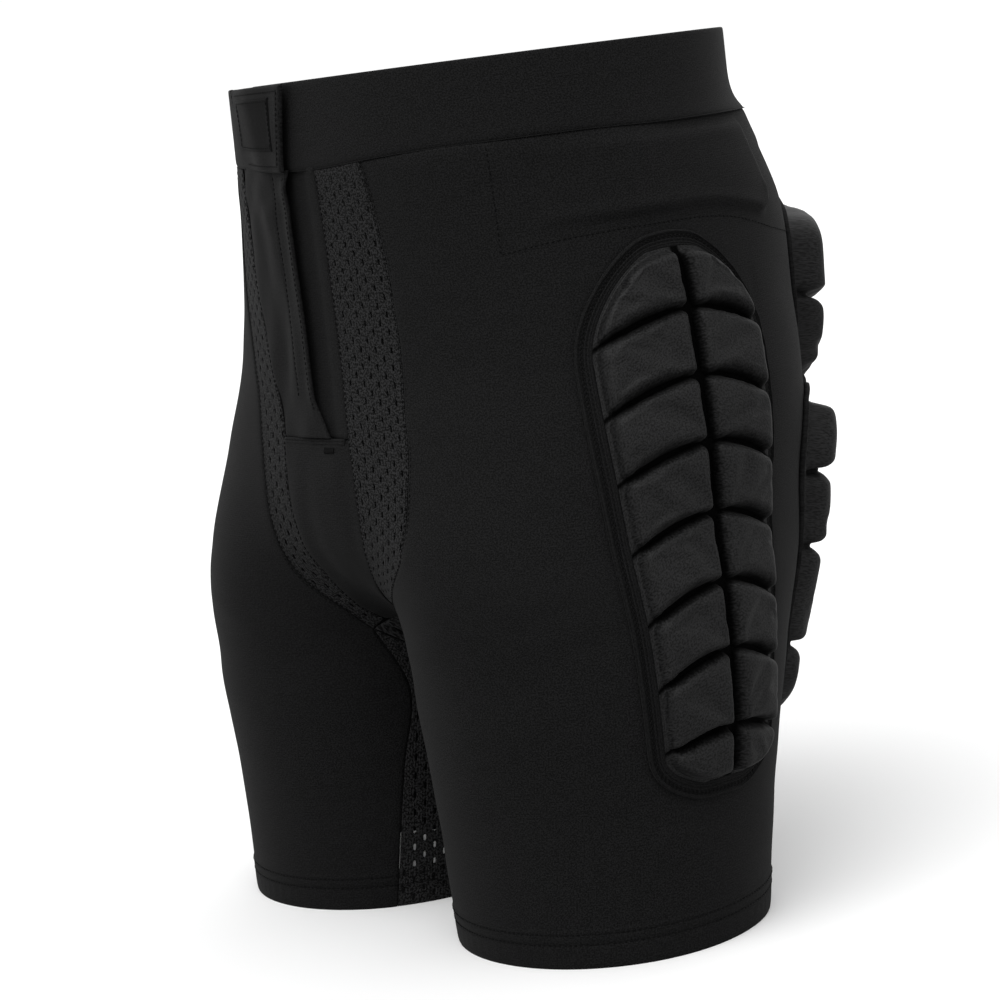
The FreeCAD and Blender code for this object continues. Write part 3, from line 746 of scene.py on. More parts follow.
def pad_cloth(name, dark, light):
    """Cover cloth over foam: a fine pebble grain, with painted shade that takes it near black where it turns down
    into a groove.
    """
    material, tree, node = shader(name)
    place = cloth_coordinates(node, True)
    pebble = node("TexVoronoi", Vector=place, Scale=1 / 0.9, p_feature="F1").outputs["Distance"]
    fibre = grain(node, place, 0.9, 1.0)
    patch = grain(node, place, 7.0, 3.0)
    # The groove shade mask is 0 in the row and spine grooves: painted shade lowers the tone there, takes the
    # colour to near black and cuts the specular.
    groove_shade_mask = node("Attribute", p_attribute_name="groove_shade_mask").outputs["Fac"]
    tone = add(node, scaled(node, patch, 0.6), scaled(node, groove_shade_mask, 0.3))
    tone = add(node, tone, speckle(node, fibre, 4.5))
    painted_groove_light = combine(node, "MINIMUM", add(node, scaled(node, groove_shade_mask, 3.5), 0.1), 1.0)
    height = add(node, scaled(node, pebble, 0.7), scaled(node, fibre, 0.5))
    raised = node("Bump", Strength=0.5, Distance=0.25 * MM, Height=height)
    surface_of(
        tree, node, Base_Color=shades(node, painted_groove_light, grey(0.0003), shades(node, tone, dark, light)),
        Roughness=combine(node, "SUBTRACT", 0.66, scaled(node, groove_shade_mask, 0.14)),
        Normal=raised.outputs[0], Sheen_Weight=0.03, Sheen_Roughness=0.4,
        Specular_IOR_Level=scaled(node, painted_groove_light, 0.17),
    )
    return material


def grey(value, tint=1.03):
    """A near-black shade, very slightly cool."""
    return (value, value, value * tint)


# What cloth() takes after the name, in its order
LINING = (grey(0.007), grey(0.016), 0.85, (1.0, 1.4), 0.25, 4.0, 0.1)
CLOTHS = {
    "shell_knit": (grey(0.001), grey(0.009), 0.78, (0.75, 1.1), 0.16, 6.0, 0.02),
    "mesh_knit": (
        grey(0.0005), grey(0.02), 0.75, (1.46, 1.0), 0.3, 0.9, 0.02, True, 0.11, 8.0, 1.1,
    ),
    "waistband_knit": (grey(0.001), grey(0.0098), 0.74, (0.7, 0.9), 0.12, 5.0, 0.02),
    "elastic": (grey(0.01), grey(0.03), 0.7, (1.2, 2.4), 0.3, 3.0, 0.1, False),
    "lining_knit": LINING,
    "lining_solid": (*LINING, False),
    "binding": (grey(0.0015), grey(0.0075), 0.75, (1.0, 0.8), 0.25, 3.0, 0.02),
    "thread": (grey(0.0012), grey(0.003), 0.6, (0.5, 0.5), 0.1, 1.0, 0.0, True, 0.08),
    "hook_and_loop": (grey(0.005), grey(0.014), 0.8, (1.1, 1.1), 0.4, 1.2, 0.1, False),
    "label": (grey(0.001), grey(0.004), 0.6, (0.8, 0.5), 0.2, 2.0, 0.0, True, 0.06),
}
MATERIALS = {name: cloth(name, *values) for name, values in CLOTHS.items()}
MATERIALS["pad_cover"] = pad_cloth("pad_cover", grey(0.0005), grey(0.0125))


def dress(obj, slot, body="shorts", replaces=()):
    """Gives a piece its material, its body and the CAD nodes that it stands for."""
    obj.data.materials.clear()
    obj.data.materials.append(MATERIALS[slot])
    if body:
        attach(obj, body)
    if replaces:
        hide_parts(*replaces)
    return obj


# ---- outer pads ----------------------------------------------------------------------------------
def rounding(pad, t):
    """Share of a pad's width that its two rounded ends leave."""
    grooves = pad["grooves"]
    z = smooth(t, grooves, 1)
    share = 1.0
    for edge, radius in zip((z - grooves[0][1], grooves[-1][1] - z), pad["ends"]):
        short = np.maximum(0.0, 1 - (edge + BLUNT) / radius)
        share = share * np.sqrt(1 - short**2)
    return share


def half_width(pad, t):
    return smooth(t, pad["grooves"], 2) * rounding(pad, t)


def pad_flat(pad, a, t):
    """Place on a pad laid flat: sideways from its spine, and height."""
    z, drop = smooth(t, pad["grooves"], 1), smooth(t, pad["grooves"], 3)
    s = (a + pad["skew"] * (1 - a**2)) * half_width(pad, t)
    return s, z - drop * (a * rounding(pad, t)) ** 2 - pad["tilt"] * s


def hip_place(s, z):
    spine_y = HIP_SPINE_Y[0] + HIP_SPINE_Y[1] * (z - HIP["grooves"][0][1])
    angle = np.arctan2(spine_y - smooth(z, CORE, 2), HIP_REACH)
    return around(z, angle + s / HIP_REACH)


def rear_place(spine):
    return lambda s, z: back(smooth(z, spine, 1) + s, z)


HIP["place"] = hip_place
SEAT["place"] = rear_place(SEAT_SPINE_X)
TAIL["place"] = rear_place(TAIL_SPINE_X)
GROOVE = 2.3  # half width of a groove between blocks
SPINE_GROOVE = 2.0
COVER_FLOOR = 1.9  # cover height in the grooves and along the pad's rim
PAD_MARGIN = 2.2  # flat rim between the blocks and the bound edge
BLOCK_TILT = 1.0  # how much the lower edge of a block stands above its upper edge
BLOCK_CROWN = 0.9  # how much the middle of a block stands above its shoulders
CORNER_POWER = 2.4  # how squarely the rounded edges of a block meet
SHOULDER_POWER = 2.3
# Radii of a block's edges: lower, upper, beside the spine, outer
LOWER_EDGE, UPPER_EDGE, SPINE_EDGE, OUTER_EDGE = 4.6, 7.0, 5.6, 7.5


def block_pattern(pad, a, t, draws):
    """A pad's blocks: height above its floor, nearness to a crown, and a mask of distance from the grooves for the
    shade painted into them.
    """
    grooves = pad["grooves"]
    last = len(grooves) - 1
    half = half_width(pad, t)
    k = np.clip(np.floor(t), 0, last - 1).astype(int)
    levels = np.array([g[1] for g in grooves], float)
    rise = levels[k + 1] - levels[k]
    share = t - k
    slope = 2 * smooth(t, grooves, 3) * np.abs(a) * rounding(pad, t) ** 2 / np.maximum(half, 1)
    lean = 1 / np.sqrt(1 + slope**2)
    h = 0.02
    widen = (half_width(pad, t + h) - half_width(pad, t - h)) / (2 * h * rise)
    side_lean = 1 / np.sqrt(1 + widen**2)
    columns = pad["columns"]
    column = np.clip(np.floor(np.abs(a) * columns), 0, columns - 1)
    in_column = np.abs(a) * columns - column
    row_groove = GROOVE * (0.3 + 0.7 * np.sin(math.pi * np.clip(in_column, 0, 1)))
    below = share * rise * lean - np.where(k > 0, row_groove, PAD_MARGIN)
    above = (1 - share) * rise * lean - np.where(k < last - 1, row_groove * 0.4, PAD_MARGIN)
    lopsided = pad["skew"] * np.sign(a)
    spine = in_column * half / columns * (1 - lopsided * np.abs(a))
    spine = spine - SPINE_GROOVE * np.where(column > 0, 0.8, 1.0)
    outer = (1 - in_column) * half / columns * side_lean * (1 - lopsided * (1 + np.abs(a)))
    outer -= np.where(column < columns - 1, SPINE_GROOVE * 0.8, PAD_MARGIN)
    total, inner = np.zeros_like(t), np.zeros_like(t)
    for distance, radius, in_pad_groove in (
        (below, LOWER_EDGE, k > 0),
        (above, UPPER_EDGE, k < last - 1),
        (spine, SPINE_EDGE, k >= 0),
        (outer, OUTER_EDGE, column < columns - 1),
    ):
        near = np.clip(1 - distance / (radius * pad["soft"]), 0, 1)
        near = near * np.where(in_pad_groove, pad["groove_depth"], 1.0)
        total = total + near**CORNER_POWER
        inner = inner + near**CORNER_POWER * in_pad_groove
    edge = np.minimum(total ** (1 / CORNER_POWER), 1.0)
    # Mask for the shade painted into the row and spine grooves: 0 in a groove, 1 on the block tops and the outer
    # rim.
    groove_shade_mask = 1 - np.minimum(inner ** (1 / CORNER_POWER), 1.0)
    height = pad["height"] * np.sqrt(np.maximum(1 - edge**SHOULDER_POWER, 0))
    pick = (k * 2 * columns + column * 2 + (a > 0)).astype(int)
    height = height * (1 + 0.05 * draws[pick % len(draws)])
    height = height + (0.5 - share) * BLOCK_TILT * np.minimum(height / pad["height"], 1)
    crown = np.sin(math.pi * np.clip(share, 0, 1))
    crown = crown * np.sin(math.pi * np.clip(in_column, 0.02, 0.98))
    height = height + BLOCK_CROWN * crown * (1 - edge)
    return height, np.clip(1 - edge, 0, 1), groove_shade_mask


GRID_STEP = 2.2
NEAR_GROOVE = (0.0, 0.9, 1.7, 2.6, 3.8)  # close grid lines beside a groove


def pad_grid(pad):
    """Across and along places of a pad's cover, close together beside each groove."""
    grooves = pad["grooves"]
    last = len(grooves) - 1
    widest = max(g[2] for g in grooves)
    across = []
    for c in range(pad["columns"]):
        local = edge_steps(widest / pad["columns"], GRID_STEP, NEAR_GROOVE)
        across.append((c + local[:-1]) / pad["columns"])
    across = np.concatenate(across + [[1.0]])
    across = np.concatenate([-across[:0:-1], across])
    along = []
    for k in range(last):
        length = grooves[k + 1][1] - grooves[k][1]
        local = edge_steps(length, GRID_STEP, NEAR_GROOVE)
        along.append(k + local[:-1])
    along = np.concatenate(along + [[float(last)]])
    return np.meshgrid(across, along)


PUFF_FRAMES = 16
PUFF_PRESSURE = 4.0
PUFF_CAP = 1.3  # the most that a point moves, in mm
CREASE = 0.22  # depth of the small creases along a block's edges
UNDERSIDE = 1.4  # height of a cover's underside above the body


def points_of(mesh):
    co = np.empty(len(mesh.vertices) * 3, np.float32)
    mesh.vertices.foreach_get("co", co)
    return co.reshape(-1, 3)


def puff(obj, pinned, cap):
    """Cloth simulation under a little pressure.

    Pinned points stay, and no point moves further than the cap.
    """
    scene = bpy.context.scene
    before = points_of(obj.data)
    group = obj.vertex_groups.new(name="pinned")
    for weight in np.unique(np.round(pinned, 1)):
        members = np.flatnonzero(np.round(pinned, 1) == weight)
        if weight > 0 and len(members):
            group.add(members.tolist(), float(weight), "REPLACE")
    modifier = obj.modifiers.new("puff", "CLOTH")
    settings = modifier.settings
    settings.quality = 4
    settings.mass = 0.15
    settings.tension_stiffness = 12
    settings.compression_stiffness = 12
    settings.shear_stiffness = 6
    settings.bending_stiffness = 0.6
    settings.vertex_group_mass = group.name
    settings.use_pressure = True
    settings.uniform_pressure_force = PUFF_PRESSURE
    settings.effector_weights.gravity = 0
    settings.shrink_min = -0.02
    modifier.collision_settings.use_collision = False
    modifier.point_cache.frame_start = 1
    modifier.point_cache.frame_end = PUFF_FRAMES
    for number in range(1, PUFF_FRAMES + 1):
        scene.frame_set(number)
    graph = bpy.context.evaluated_depsgraph_get()
    move = points_of(obj.evaluated_get(graph).to_mesh()) - before
    obj.evaluated_get(graph).to_mesh_clear()
    size = np.linalg.norm(move, axis=1, keepdims=True)
    move *= np.minimum(1, cap * MM / np.maximum(size, 1e-9))
    obj.modifiers.remove(modifier)
    obj.vertex_groups.clear()
    scene.frame_set(1)
    return before + move


def pad_cover(pad, draws):
    """Surface points, normals, skin and painted groove shade mask of a pad's cover, on the left or middle."""
    a, t = pad_grid(pad)
    base = pad["place"](*pad_flat(pad, a, t))
    normal = outward(base)
    height, crown, groove_shade_mask = block_pattern(pad, a, t, draws)
    crease = CREASE * noise(base, 3.5) * bump(crown, 0.25, 0.2)
    height = height + crease * (height > 0.5) + 0.12 * noise(base + 31, 9)
    skin = base + normal * (COVER_FLOOR + height)[..., None]
    rows, columns = a.shape
    trial = make_mesh("trial", skin.reshape(-1, 3), grid_faces(rows, columns).tolist())
    if not facing(base, normal):
        trial.data.flip_normals()
    pinned = np.where(height < 1.0, 1.0, np.clip(1 - crown * 3.2, 0, 1))
    moved = puff(trial, pinned.ravel(), PUFF_CAP) / MM + np.array([0, MIDDLE_Y, 0])
    skin = moved.reshape(rows, columns, 3)
    bpy.data.objects.remove(trial)
    return base, normal, skin, groove_shade_mask


def closed_skin(name, skin, base, normal, uv, groove_shade_mask):
    """Closes a formed cover with an underside at an even height above the body, and gives the underside full
    painted shade.
    """
    under = base + normal * UNDERSIDE
    # Painted groove shade on the outside, and full painted shade, near black, on the underside.
    ripple_and_groove_shade = np.concatenate([groove_shade_mask.ravel(), np.zeros(groove_shade_mask.size)])
    obj = closed_sheet(name, skin, under, not facing(base, normal), uv, ripple_and_groove_shade)
    smoother = obj.modifiers.new("subdivision", "SUBSURF")
    smoother.levels = smoother.render_levels = 1
    return obj


def pad_outline(pad, count):
    """Even points round a pad laid flat, and the outward direction at each."""
    last = float(len(pad["grooves"]) - 1)
    corners = ((0, 0), (1, 0), (1, last), (-1, last), (-1, 0), (0, 0))
    fine = []
    for (a0, t0), (a1, t1) in zip(corners, corners[1:]):
        u = np.linspace(0, 1, 121)[:-1]
        fine.append(np.stack(pad_flat(pad, mix(a0, a1, u), mix(t0, t1, u)), 1))
    fine = np.concatenate(fine)
    closed = np.concatenate([fine, fine[:1]])
    run = path_run(closed)
    at = np.arange(count) * run[-1] / count
    even = columns_of(closed, at, run)
    soft = max(int(3.0 / (run[-1] / count)), 1)
    for _ in range(3):
        even = sum(np.roll(even, k, 0) for k in range(-soft, soft + 1)) / (2 * soft + 1)
    tangent = np.roll(even, -1, 0) - np.roll(even, 1, 0)
    tangent /= np.linalg.norm(tangent, axis=1, keepdims=True)
    return even, np.stack([tangent[:, 1], -tangent[:, 0]], 1)


# Profile of the bound edge: distance outside the outline, height
BINDING_PROFILE = (
    (0.12, 0.12), (0.15, 1.65), (0.6, 1.8), (1.5, 1.45), (2.0, 1.75), (2.7, 1.85), (3.2, 1.35),
    (3.7, 1.8), (4.4, 1.9), (4.9, 1.45), (5.3, 1.75), (6.6, 1.8), (7.0, 1.4), (7.4, 2.0),
    (8.0, 2.6), (8.6, 2.7), (9.1, 2.25), (9.4, 1.3), (9.45, 0.12),
)
BINDING_STITCHES = (3.2, 4.9, 5.6, 6.3, 7.0)
BINDING_POINTS = 420  # round a pad


def ring_at(pad, outline, away, grow, height):
    """A ring round a pad outside its outline; the bound edge is narrower at a hip pad's rear."""
    trim = 1 - pad["rear_trim"] * np.clip(away[:, :1], 0, 1)
    flat = outline + away * trim * (grow * pad["band"])
    base = pad["place"](flat[:, 0], flat[:, 1])
    normal = outward(base)
    return base + normal * np.reshape(height, (-1, 1)), normal


def pad_edge(name, pad, side):
    """The bound edge round a pad, with its rows of stitches."""
    count = BINDING_POINTS
    outline, away = pad_outline(pad, count)
    rings, seams = [], []
    ripple = 0.12 * np.sin(np.arange(count) * 2 * math.pi * round(count / 9) / count)
    for grow, height in BINDING_PROFILE:
        # Height of the binding with a small ripple along its top.
        ripple_and_groove_shade = height + ripple * (height > 1.9)
        ring = ring_at(pad, outline, away, grow, ripple_and_groove_shade)[0]
        rings.append(mirror_if(side, ring)[0])
    grid = np.stack(rings)
    rows = len(BINDING_PROFILE)
    top = grid_faces(rows, count, wrap=True)
    bottom_row = (rows - 1) * count
    k = np.arange(count)
    after = (k + 1) % count
    close = np.stack([bottom_row + k, bottom_row + after, after, k], -1)
    faces = np.concatenate([top, close])
    if side == "right":
        faces = faces[:, ::-1]
    run = np.cumsum(np.linalg.norm(grid[0] - np.roll(grid[0], 1, 0), axis=1))
    across = np.array(BINDING_PROFILE)[:, :1]
    uv = np.stack(np.broadcast_arrays(across, run[None]), -1)
    obj = make_mesh(name, grid.reshape(-1, 3), faces.tolist(), uv.reshape(-1, 2))
    for grow in BINDING_STITCHES:
        height = np.interp(grow, *zip(*BINDING_PROFILE))
        ring, normal = mirror_if(side, *ring_at(pad, outline, away, grow, height))
        seams.append((np.concatenate([ring, ring[:1]]), np.concatenate([normal, normal[:1]])))
    return obj, seams


def build_pad(name, pad, draws, sides):
    """Cover and bound edge of one pad, for each side it is on."""
    base, normal, skin, groove_shade_mask = pad_cover(pad, draws)
    uv = cloth_uv(base)
    for side in sides:
        tag = f"_{side}" if side else ""
        b, n, s = mirror_if(side or "left", base, normal, skin)
        cover = closed_skin(f"{name}_cover{tag}", s, b, n, uv, groove_shade_mask)
        dress(cover, "pad_cover", replaces=[f"{name}_cover{tag}", f"{name}_foam{tag}"])
        edge, seams = pad_edge(f"{name}_binding{tag}", pad, side or "left")
        dress(edge, "binding", replaces=[f"{name}_binding{tag}"])
        thread = stitches(f"{name}_stitching{tag}", seams, 2.4, 1.7, 0.5)
        dress(thread, "thread")


FAR = 999.0


def in_pad(p):
    """1 where a point of the left half lies under a pad, falling to 0 beside it."""
    shade = np.zeros(p.shape[:-1])
    z = p[..., 2]
    spine_y = HIP_SPINE_Y[0] + HIP_SPINE_Y[1] * (z - HIP["grooves"][0][1])
    spine_angle = np.arctan2(spine_y - smooth(z, CORE, 2), HIP_REACH)
    behind = p[..., 1] > smooth(z, CORE, 2)
    sideways = (
        (HIP, (bearing(p) - spine_angle) * HIP_REACH),
        (SEAT, np.where(behind, p[..., 0] - smooth(z, SEAT_SPINE_X, 1), FAR)),
        (TAIL, np.where(behind, p[..., 0], FAR)),
    )
    for pad, s in sideways:
        _, levels, halves, drops = zip(*pad["grooves"])
        half = np.interp(z, levels, halves)
        top = levels[-1] - min(drops[-1], 0)
        inside = np.minimum(half + 7 - np.abs(s), np.minimum(z - levels[0] + 20, top + 7 - z))
        shade = np.maximum(shade, step_up(inside / 6 + 0.5))
    return shade


# ---- shell ---------------------------------------------------------------------------------------
# Stitches of the iliac pocket: degrees about the core, height
ILIAC_STITCH = ((-63, 339), (-44, 342.6), (-16, 344), (19, 342), (45, 331), (60, 327))
ILIAC_BACK = 47.0  # degrees where the iliac pad ends at the back
ILIAC_FRONT = -54.0  # and at the front
ILIAC_RIDGE = 349.0  # height of its lower edge
ILIAC_SWELL = 3.0  # how far it pushes the shell out
LEG_ROUND = 84  # radius that turns a bearing into a length round a leg


def iliac_bump(p):
    """The soft edge of the iliac pad, showing through the shell."""
    z = p[..., 2]
    angle = np.degrees(bearing(p))
    foot = ILIAC_RIDGE - 9 * np.clip((angle - 2) / 35, 0, 1) ** 2
    foot = foot + 26 * np.clip((angle - 38) / 11, 0, 1) ** 2
    rise = step_up((z - foot) / 3.6) * step_up((WAIST_SEAM - 3 - z) / 5)
    ends = step_up((ILIAC_BACK - angle) * 1.5 / 5) * step_up((angle - ILIAC_FRONT) / 45)
    lip = 0.9 * bump(z, foot + 3.5, 3.5)
    lip = lip * step_up((angle - ILIAC_FRONT) / 8) * step_up((50 - angle) / 6)
    return ILIAC_SWELL * rise * ends + lip


def shell_relief(p):
    """How far the shell stands off the body, in mm, over the left half."""
    z = p[..., 2]
    angle = np.degrees(bearing(p))
    relief = 0.45 * noise(p * np.array([1, 1, 0.7]), 60)
    relief += 0.18 * noise(p * np.array([0.6, 0.6, 1.6]), 22)
    pull = noise(p * np.array([0.35, 0.35, 1.0]) + 50, 9)
    relief += 0.2 * pull * (bump(z, 165, 22) + 0.8 * bump(z, 380, 9))
    relief = relief * (1 - in_pad(p)) - 0.25 * in_pad(p)
    relief += iliac_bump(p)
    relief -= 1.0 * np.exp(-np.maximum(WAIST_SEAM - z, 0) / 1.5)
    relief += 0.5 * step_up((HEM_DEPTH - 1 - z) / 1.2)
    arc = np.radians(angle) * LEG_ROUND
    pucker = np.sin(arc * 2 * math.pi / 7.5 + 2 * noise(p, 30))
    for height in HEM_STITCHES:
        relief -= (0.32 + 0.1 * pucker) * bump(z, height, 0.9)
    relief += 0.1 * pucker * bump(z, 7, 5)
    relief -= 0.5 * np.exp(-z / 0.9)
    return relief


def panel_points(strip_outer):
    """Points of a leg's main panel, from the mesh strip round the side to the centre back."""
    hem, leg = np.linspace(2, HEM_DEPTH, 19), np.linspace(22.5, CROTCH_SEAM, 53)
    low = np.concatenate([[0, 0.4, 1.0], hem, leg])
    high = CROTCH_SEAM + (WAIST_SEAM - CROTCH_SEAM) * edge_steps(WAIST_SEAM - CROTCH_SEAM, 2.4)[4:]
    crotch_front, crotch_back = crotch_corners()
    share = edge_steps(450.0, 2.4)
    rows = []
    for z in np.concatenate([low, high]):
        if z <= CROTCH_SEAM:
            start = seam_angle(z, INNER_FRONT, crotch_front) - math.pi
            end = math.pi - seam_angle(z, INNER_BACK, crotch_back)
        else:
            start = bearing(front(smooth(z, strip_outer, 1) + 0.3, np.array(z)))
            tail = min((z - CROTCH_SEAM) / (GUSSET_TAIL - CROTCH_SEAM), 1)
            end = bearing(back(np.array(mix(GUSSET_BACK, 0, tail) + 0.3), np.array(z)))
        rows.append(np.stack([np.full(share.shape, z), start + (end - start) * share], -1))
    grid = np.stack(rows)
    return around(grid[..., 0], grid[..., 1])


def crotch_corners():
    """The front and back points where the inner thigh seams meet the crotch seam."""
    level = np.array(CROTCH_SEAM)
    return front(np.array(LEFT_STRIP_OUTER[0][1]), level), back(np.array(GUSSET_BACK), level)


def seam_angle(z, table, crotch_point):
    """Bearing of an inner thigh seam at height z, from 180 degrees as straight inward."""
    crotch = 180 - abs(math.degrees(bearing(crotch_point)))
    return np.radians(smooth(z, table + ((CROTCH_SEAM, crotch),), 1))


def level_normal(p):
    normal = outward(p) * np.array([1, 1, 0])
    return normal / np.linalg.norm(normal, axis=-1, keepdims=True)


def build_shell(side, strip_outer):
    base = panel_points(strip_outer)
    normal = level_normal(base)
    relief = shell_relief(base) - 0.6 * np.exp(-edge_distance(base) / 1.0)
    base, normal = mirror_if(side, base, normal)
    panel = thick_sheet(f"main_panel_{side}", base, normal, relief, relief - FABRIC)
    dress(panel, "shell_knit", replaces=[f"main_panel_{side}"])


def on_left(z, angle, lift):
    """A path on the left leg at heights and angles, lifted off the shell, with its normals."""
    p = around(z, angle)
    normal = level_normal(p)
    return p + normal * (shell_relief(p) + lift)[:, None], normal


def build_hem(side):
    """The turned-up edge inside the leg, and the two rows of stitches that hold it."""
    z = np.array([0.3, 0.9, 2, 5, 8, 11, 12, 14, 17, 18.5, 19.3, HEM_DEPTH])
    angle = np.linspace(-math.pi + 0.004, math.pi - 0.004, 200)
    base = around(z[:, None], angle[None])
    normal = level_normal(base)
    pucker = 0.25 * np.sin(angle * 61)[None] * bump(z, 19.6, 1.0)[:, None]
    roll = 0.5 * np.exp(-z / 0.8)[:, None] + pucker
    base, normal = mirror_if(side, base, normal)
    turnup = thick_sheet(f"hem_turnup_{side}", base, normal, roll - 0.85, roll - 1.8)
    dress(turnup, "shell_knit", replaces=[f"hem_turnup_{side}"])
    rows = []
    for height in HEM_STITCHES:
        path, up = on_left(np.full(angle.shape, height), angle, 0.1)
        rows.append(mirror_if(side, path, up))
    thread = stitches(f"hem_stitching_{side}", rows, 2.7, 2.0, 0.6)
    dress(thread, "thread", replaces=[f"hem_stitching_{side}"])


def build_iliac(side):
    """The pocket inside the waist with its foam, and the stitches that show outside."""
    low, high = ILIAC_HEIGHTS
    z = np.concatenate([[low, 342.5], np.linspace(345, 382, 16), [384.5, high]])
    angle = np.radians(np.linspace(*ILIAC_ANGLES, 60))
    base = around(z[:, None], angle[None])
    normal = outward(base)
    inset = np.minimum(z - z[0], z[-1] - z)[:, None]
    ends = np.minimum(angle - angle[0], angle[-1] - angle)[None] * HIP_REACH
    swell = step_up(np.minimum(inset, ends) / 11)
    depth = 1.3 + 5.2 * swell + 0.3 * noise(base, 14) * swell
    inside = shell_relief(base) - FABRIC
    b, n = mirror_if(side, base, normal)
    pocket = thick_sheet(f"iliac_pocket_{side}", b, n, inside - 0.05, inside - depth)
    dress(pocket, "lining_knit", replaces=[f"iliac_pocket_{side}", f"iliac_pad_foam_{side}"])
    down = np.linspace(WAIST_SEAM - 2, ILIAC_STITCH[0][1], 40)
    corner = np.radians(np.full(40, float(ILIAC_STITCH[0][0])))
    along = np.linspace(ILIAC_STITCH[0][0], ILIAC_STITCH[-1][0], 120)
    across = on_left(smooth(along, ILIAC_STITCH, 1), np.radians(along), 0.05)
    rows = [mirror_if(side, *row) for row in (on_left(down, corner, 0.05), across)]
    thread = stitches(f"iliac_stitching_{side}", rows, 2.7, 1.5, 0.5)
    dress(thread, "thread")


# ---- mesh strips, gusset and pouch -----------------------------------------------------------
def crotch_height(x):
    half = LEFT_STRIP_OUTER[0][1]
    return CROTCH_SEAM + CROTCH_RISE * np.maximum(0.0, 1 - (x / half) ** 2)


def table_x(table, z, shift=0.0):
    return smooth(z, table, 1) + shift


def front_sheet(x0, z0, x1, z1, share):
    """Grid of points on the front between two edges, each given as arrays of x and z."""
    x = mix(x0[:, None], x1[:, None], share[None])
    z = mix(z0[:, None], z1[:, None], share[None])
    base = front(x, z)
    return base, outward(base)


def build_strip(side, inner, outer):
    t = np.linspace(0, 1, 292)
    top = WAIST_SEAM - 0.3
    z_in = mix(crotch_height(inner[0][1]) + 0.3, top, t)
    z_out = mix(CROTCH_SEAM + 0.3, top, t)
    share = np.linspace(0, 1, 70)
    x_in, x_out = table_x(inner, z_in, 0.3), table_x(outer, z_out, -0.3)
    base, normal = front_sheet(x_in, z_in, x_out, z_out, share)
    base, normal = mirror_if(side, base, normal)
    strip = slotted_sheet(f"mesh_strip_{side}", base, normal, -0.3, -FABRIC - 0.1)
    dress(strip, "mesh_knit", replaces=[f"mesh_strip_{side}"])


def thigh_points(u, v, inset=0.0):
    z = v * CROTCH_SEAM - GUSSET_DIP * np.sin(math.pi * u) * v**2
    crotch_front, crotch_back = crotch_corners()
    start = math.pi + seam_angle(v * CROTCH_SEAM, INNER_FRONT, crotch_front) - inset
    end = math.pi - seam_angle(v * CROTCH_SEAM, INNER_BACK, crotch_back) + inset
    return around(z, mix(start, end, u))


def build_thigh(side):
    u, v = np.meshgrid(np.linspace(0, 1, 105), np.linspace(0, 0.997, 188))
    base = thigh_points(u, v, 0.3 / HIP_REACH)
    normal = level_normal(base)
    base, normal = mirror_if(side, base, normal)
    panel = slotted_sheet(f"inner_thigh_mesh_{side}", base, normal, -0.1, -FABRIC)
    dress(panel, "mesh_knit", replaces=[f"inner_thigh_mesh_{side}"])


def build_gusset():
    """The mesh saddle between the legs; its rows run from front to back."""
    across = np.linspace(-0.97, 0.97, 60)
    half = LEFT_STRIP_OUTER[0][1]
    first = front(half * across, crotch_height(half * across) - 0.4)
    rows = [first]
    for t in np.linspace(0.12, 0.88, 9):
        edge = thigh_points(np.array(t), np.array(1.0))
        rise = GUSSET_ARCH * (1 - across**2)
        rows.append(settle(stack(edge[0] * across, edge[1], edge[2] + rise)))
    for z in np.linspace(CROTCH_SEAM, GUSSET_TAIL, 6):
        half = max(mix(GUSSET_BACK, 0, (z - CROTCH_SEAM) / (GUSSET_TAIL - CROTCH_SEAM)), 0.4)
        rise = CROTCH_RISE * half / GUSSET_BACK
        rows.append(back(half * across, z + rise * (1 - across**2)))
    coarse = np.stack(rows)
    run = path_run(coarse[:, len(across) // 2])
    at = np.linspace(0, run[-1], int(run[-1] / 0.85))
    base = np.stack([curve_through(run, coarse[:, c], at) for c in range(len(across))], 1)
    gusset = slotted_sheet("crotch_gusset", base, outward(base), -0.1, -FABRIC)
    dress(gusset, "mesh_knit", replaces=["crotch_gusset"])


def curve_through(run, points, at):
    """Cubic curve through points at distances run, read at distances at."""
    return np.stack([smooth(at, list(zip(run, points[:, i])), 1) for i in range(3)], 1)


def build_pouch():
    top = POUCH_SEAM - 0.2
    low = crotch_height(np.array(float(LEFT_STRIP_INNER[0][1]))) + 0.3
    z = low + (top - low) * edge_steps(top - low, 2.0)
    share = edge_steps(60.0, 2.0)
    right, left = -table_x(RIGHT_STRIP_INNER, z), table_x(LEFT_STRIP_INNER, z)
    base, normal = front_sheet(right, z, left, z, share)
    relief = 0.35 * noise(base * np.array([1.6, 1, 0.35]), 16) + 0.25 * noise(base, 30)
    relief -= 0.5 * np.exp(-edge_distance(base) / 0.8)
    relief -= 0.7 * np.exp(-(top - base[..., 2]) / 0.8)
    pouch = thick_sheet("pouch_panel", base, normal, relief, relief - FABRIC)
    dress(pouch, "shell_knit", replaces=["pouch_panel"])


# ---- fly -----------------------------------------------------------------------------------------
def fold_x(z):
    return mix(FOLD_FOOT_X, FOLD_TOP_X, (z - POUCH_SEAM) / (WAIST_TOP - POUCH_SEAM))


def fly_lift(x, z):
    """How far the flap stands off the body: level at the fold, over the underlap at its edge."""
    past = x - fold_x(z)
    room = table_x(FREE_EDGE, z) - fold_x(z)
    lie = 2.3 * step_up(past / np.minimum(22.0, np.maximum(room * 0.7, 4)))
    to_edge = table_x(FREE_EDGE, z) - x
    gape = 2.2 * step_up((z - 262) / 22) * step_up((393 - z) / 10) * np.exp(-((to_edge / 7) ** 2))
    return lie + gape


FLAP_HEM = 15.5  # turned-in edge of the flap


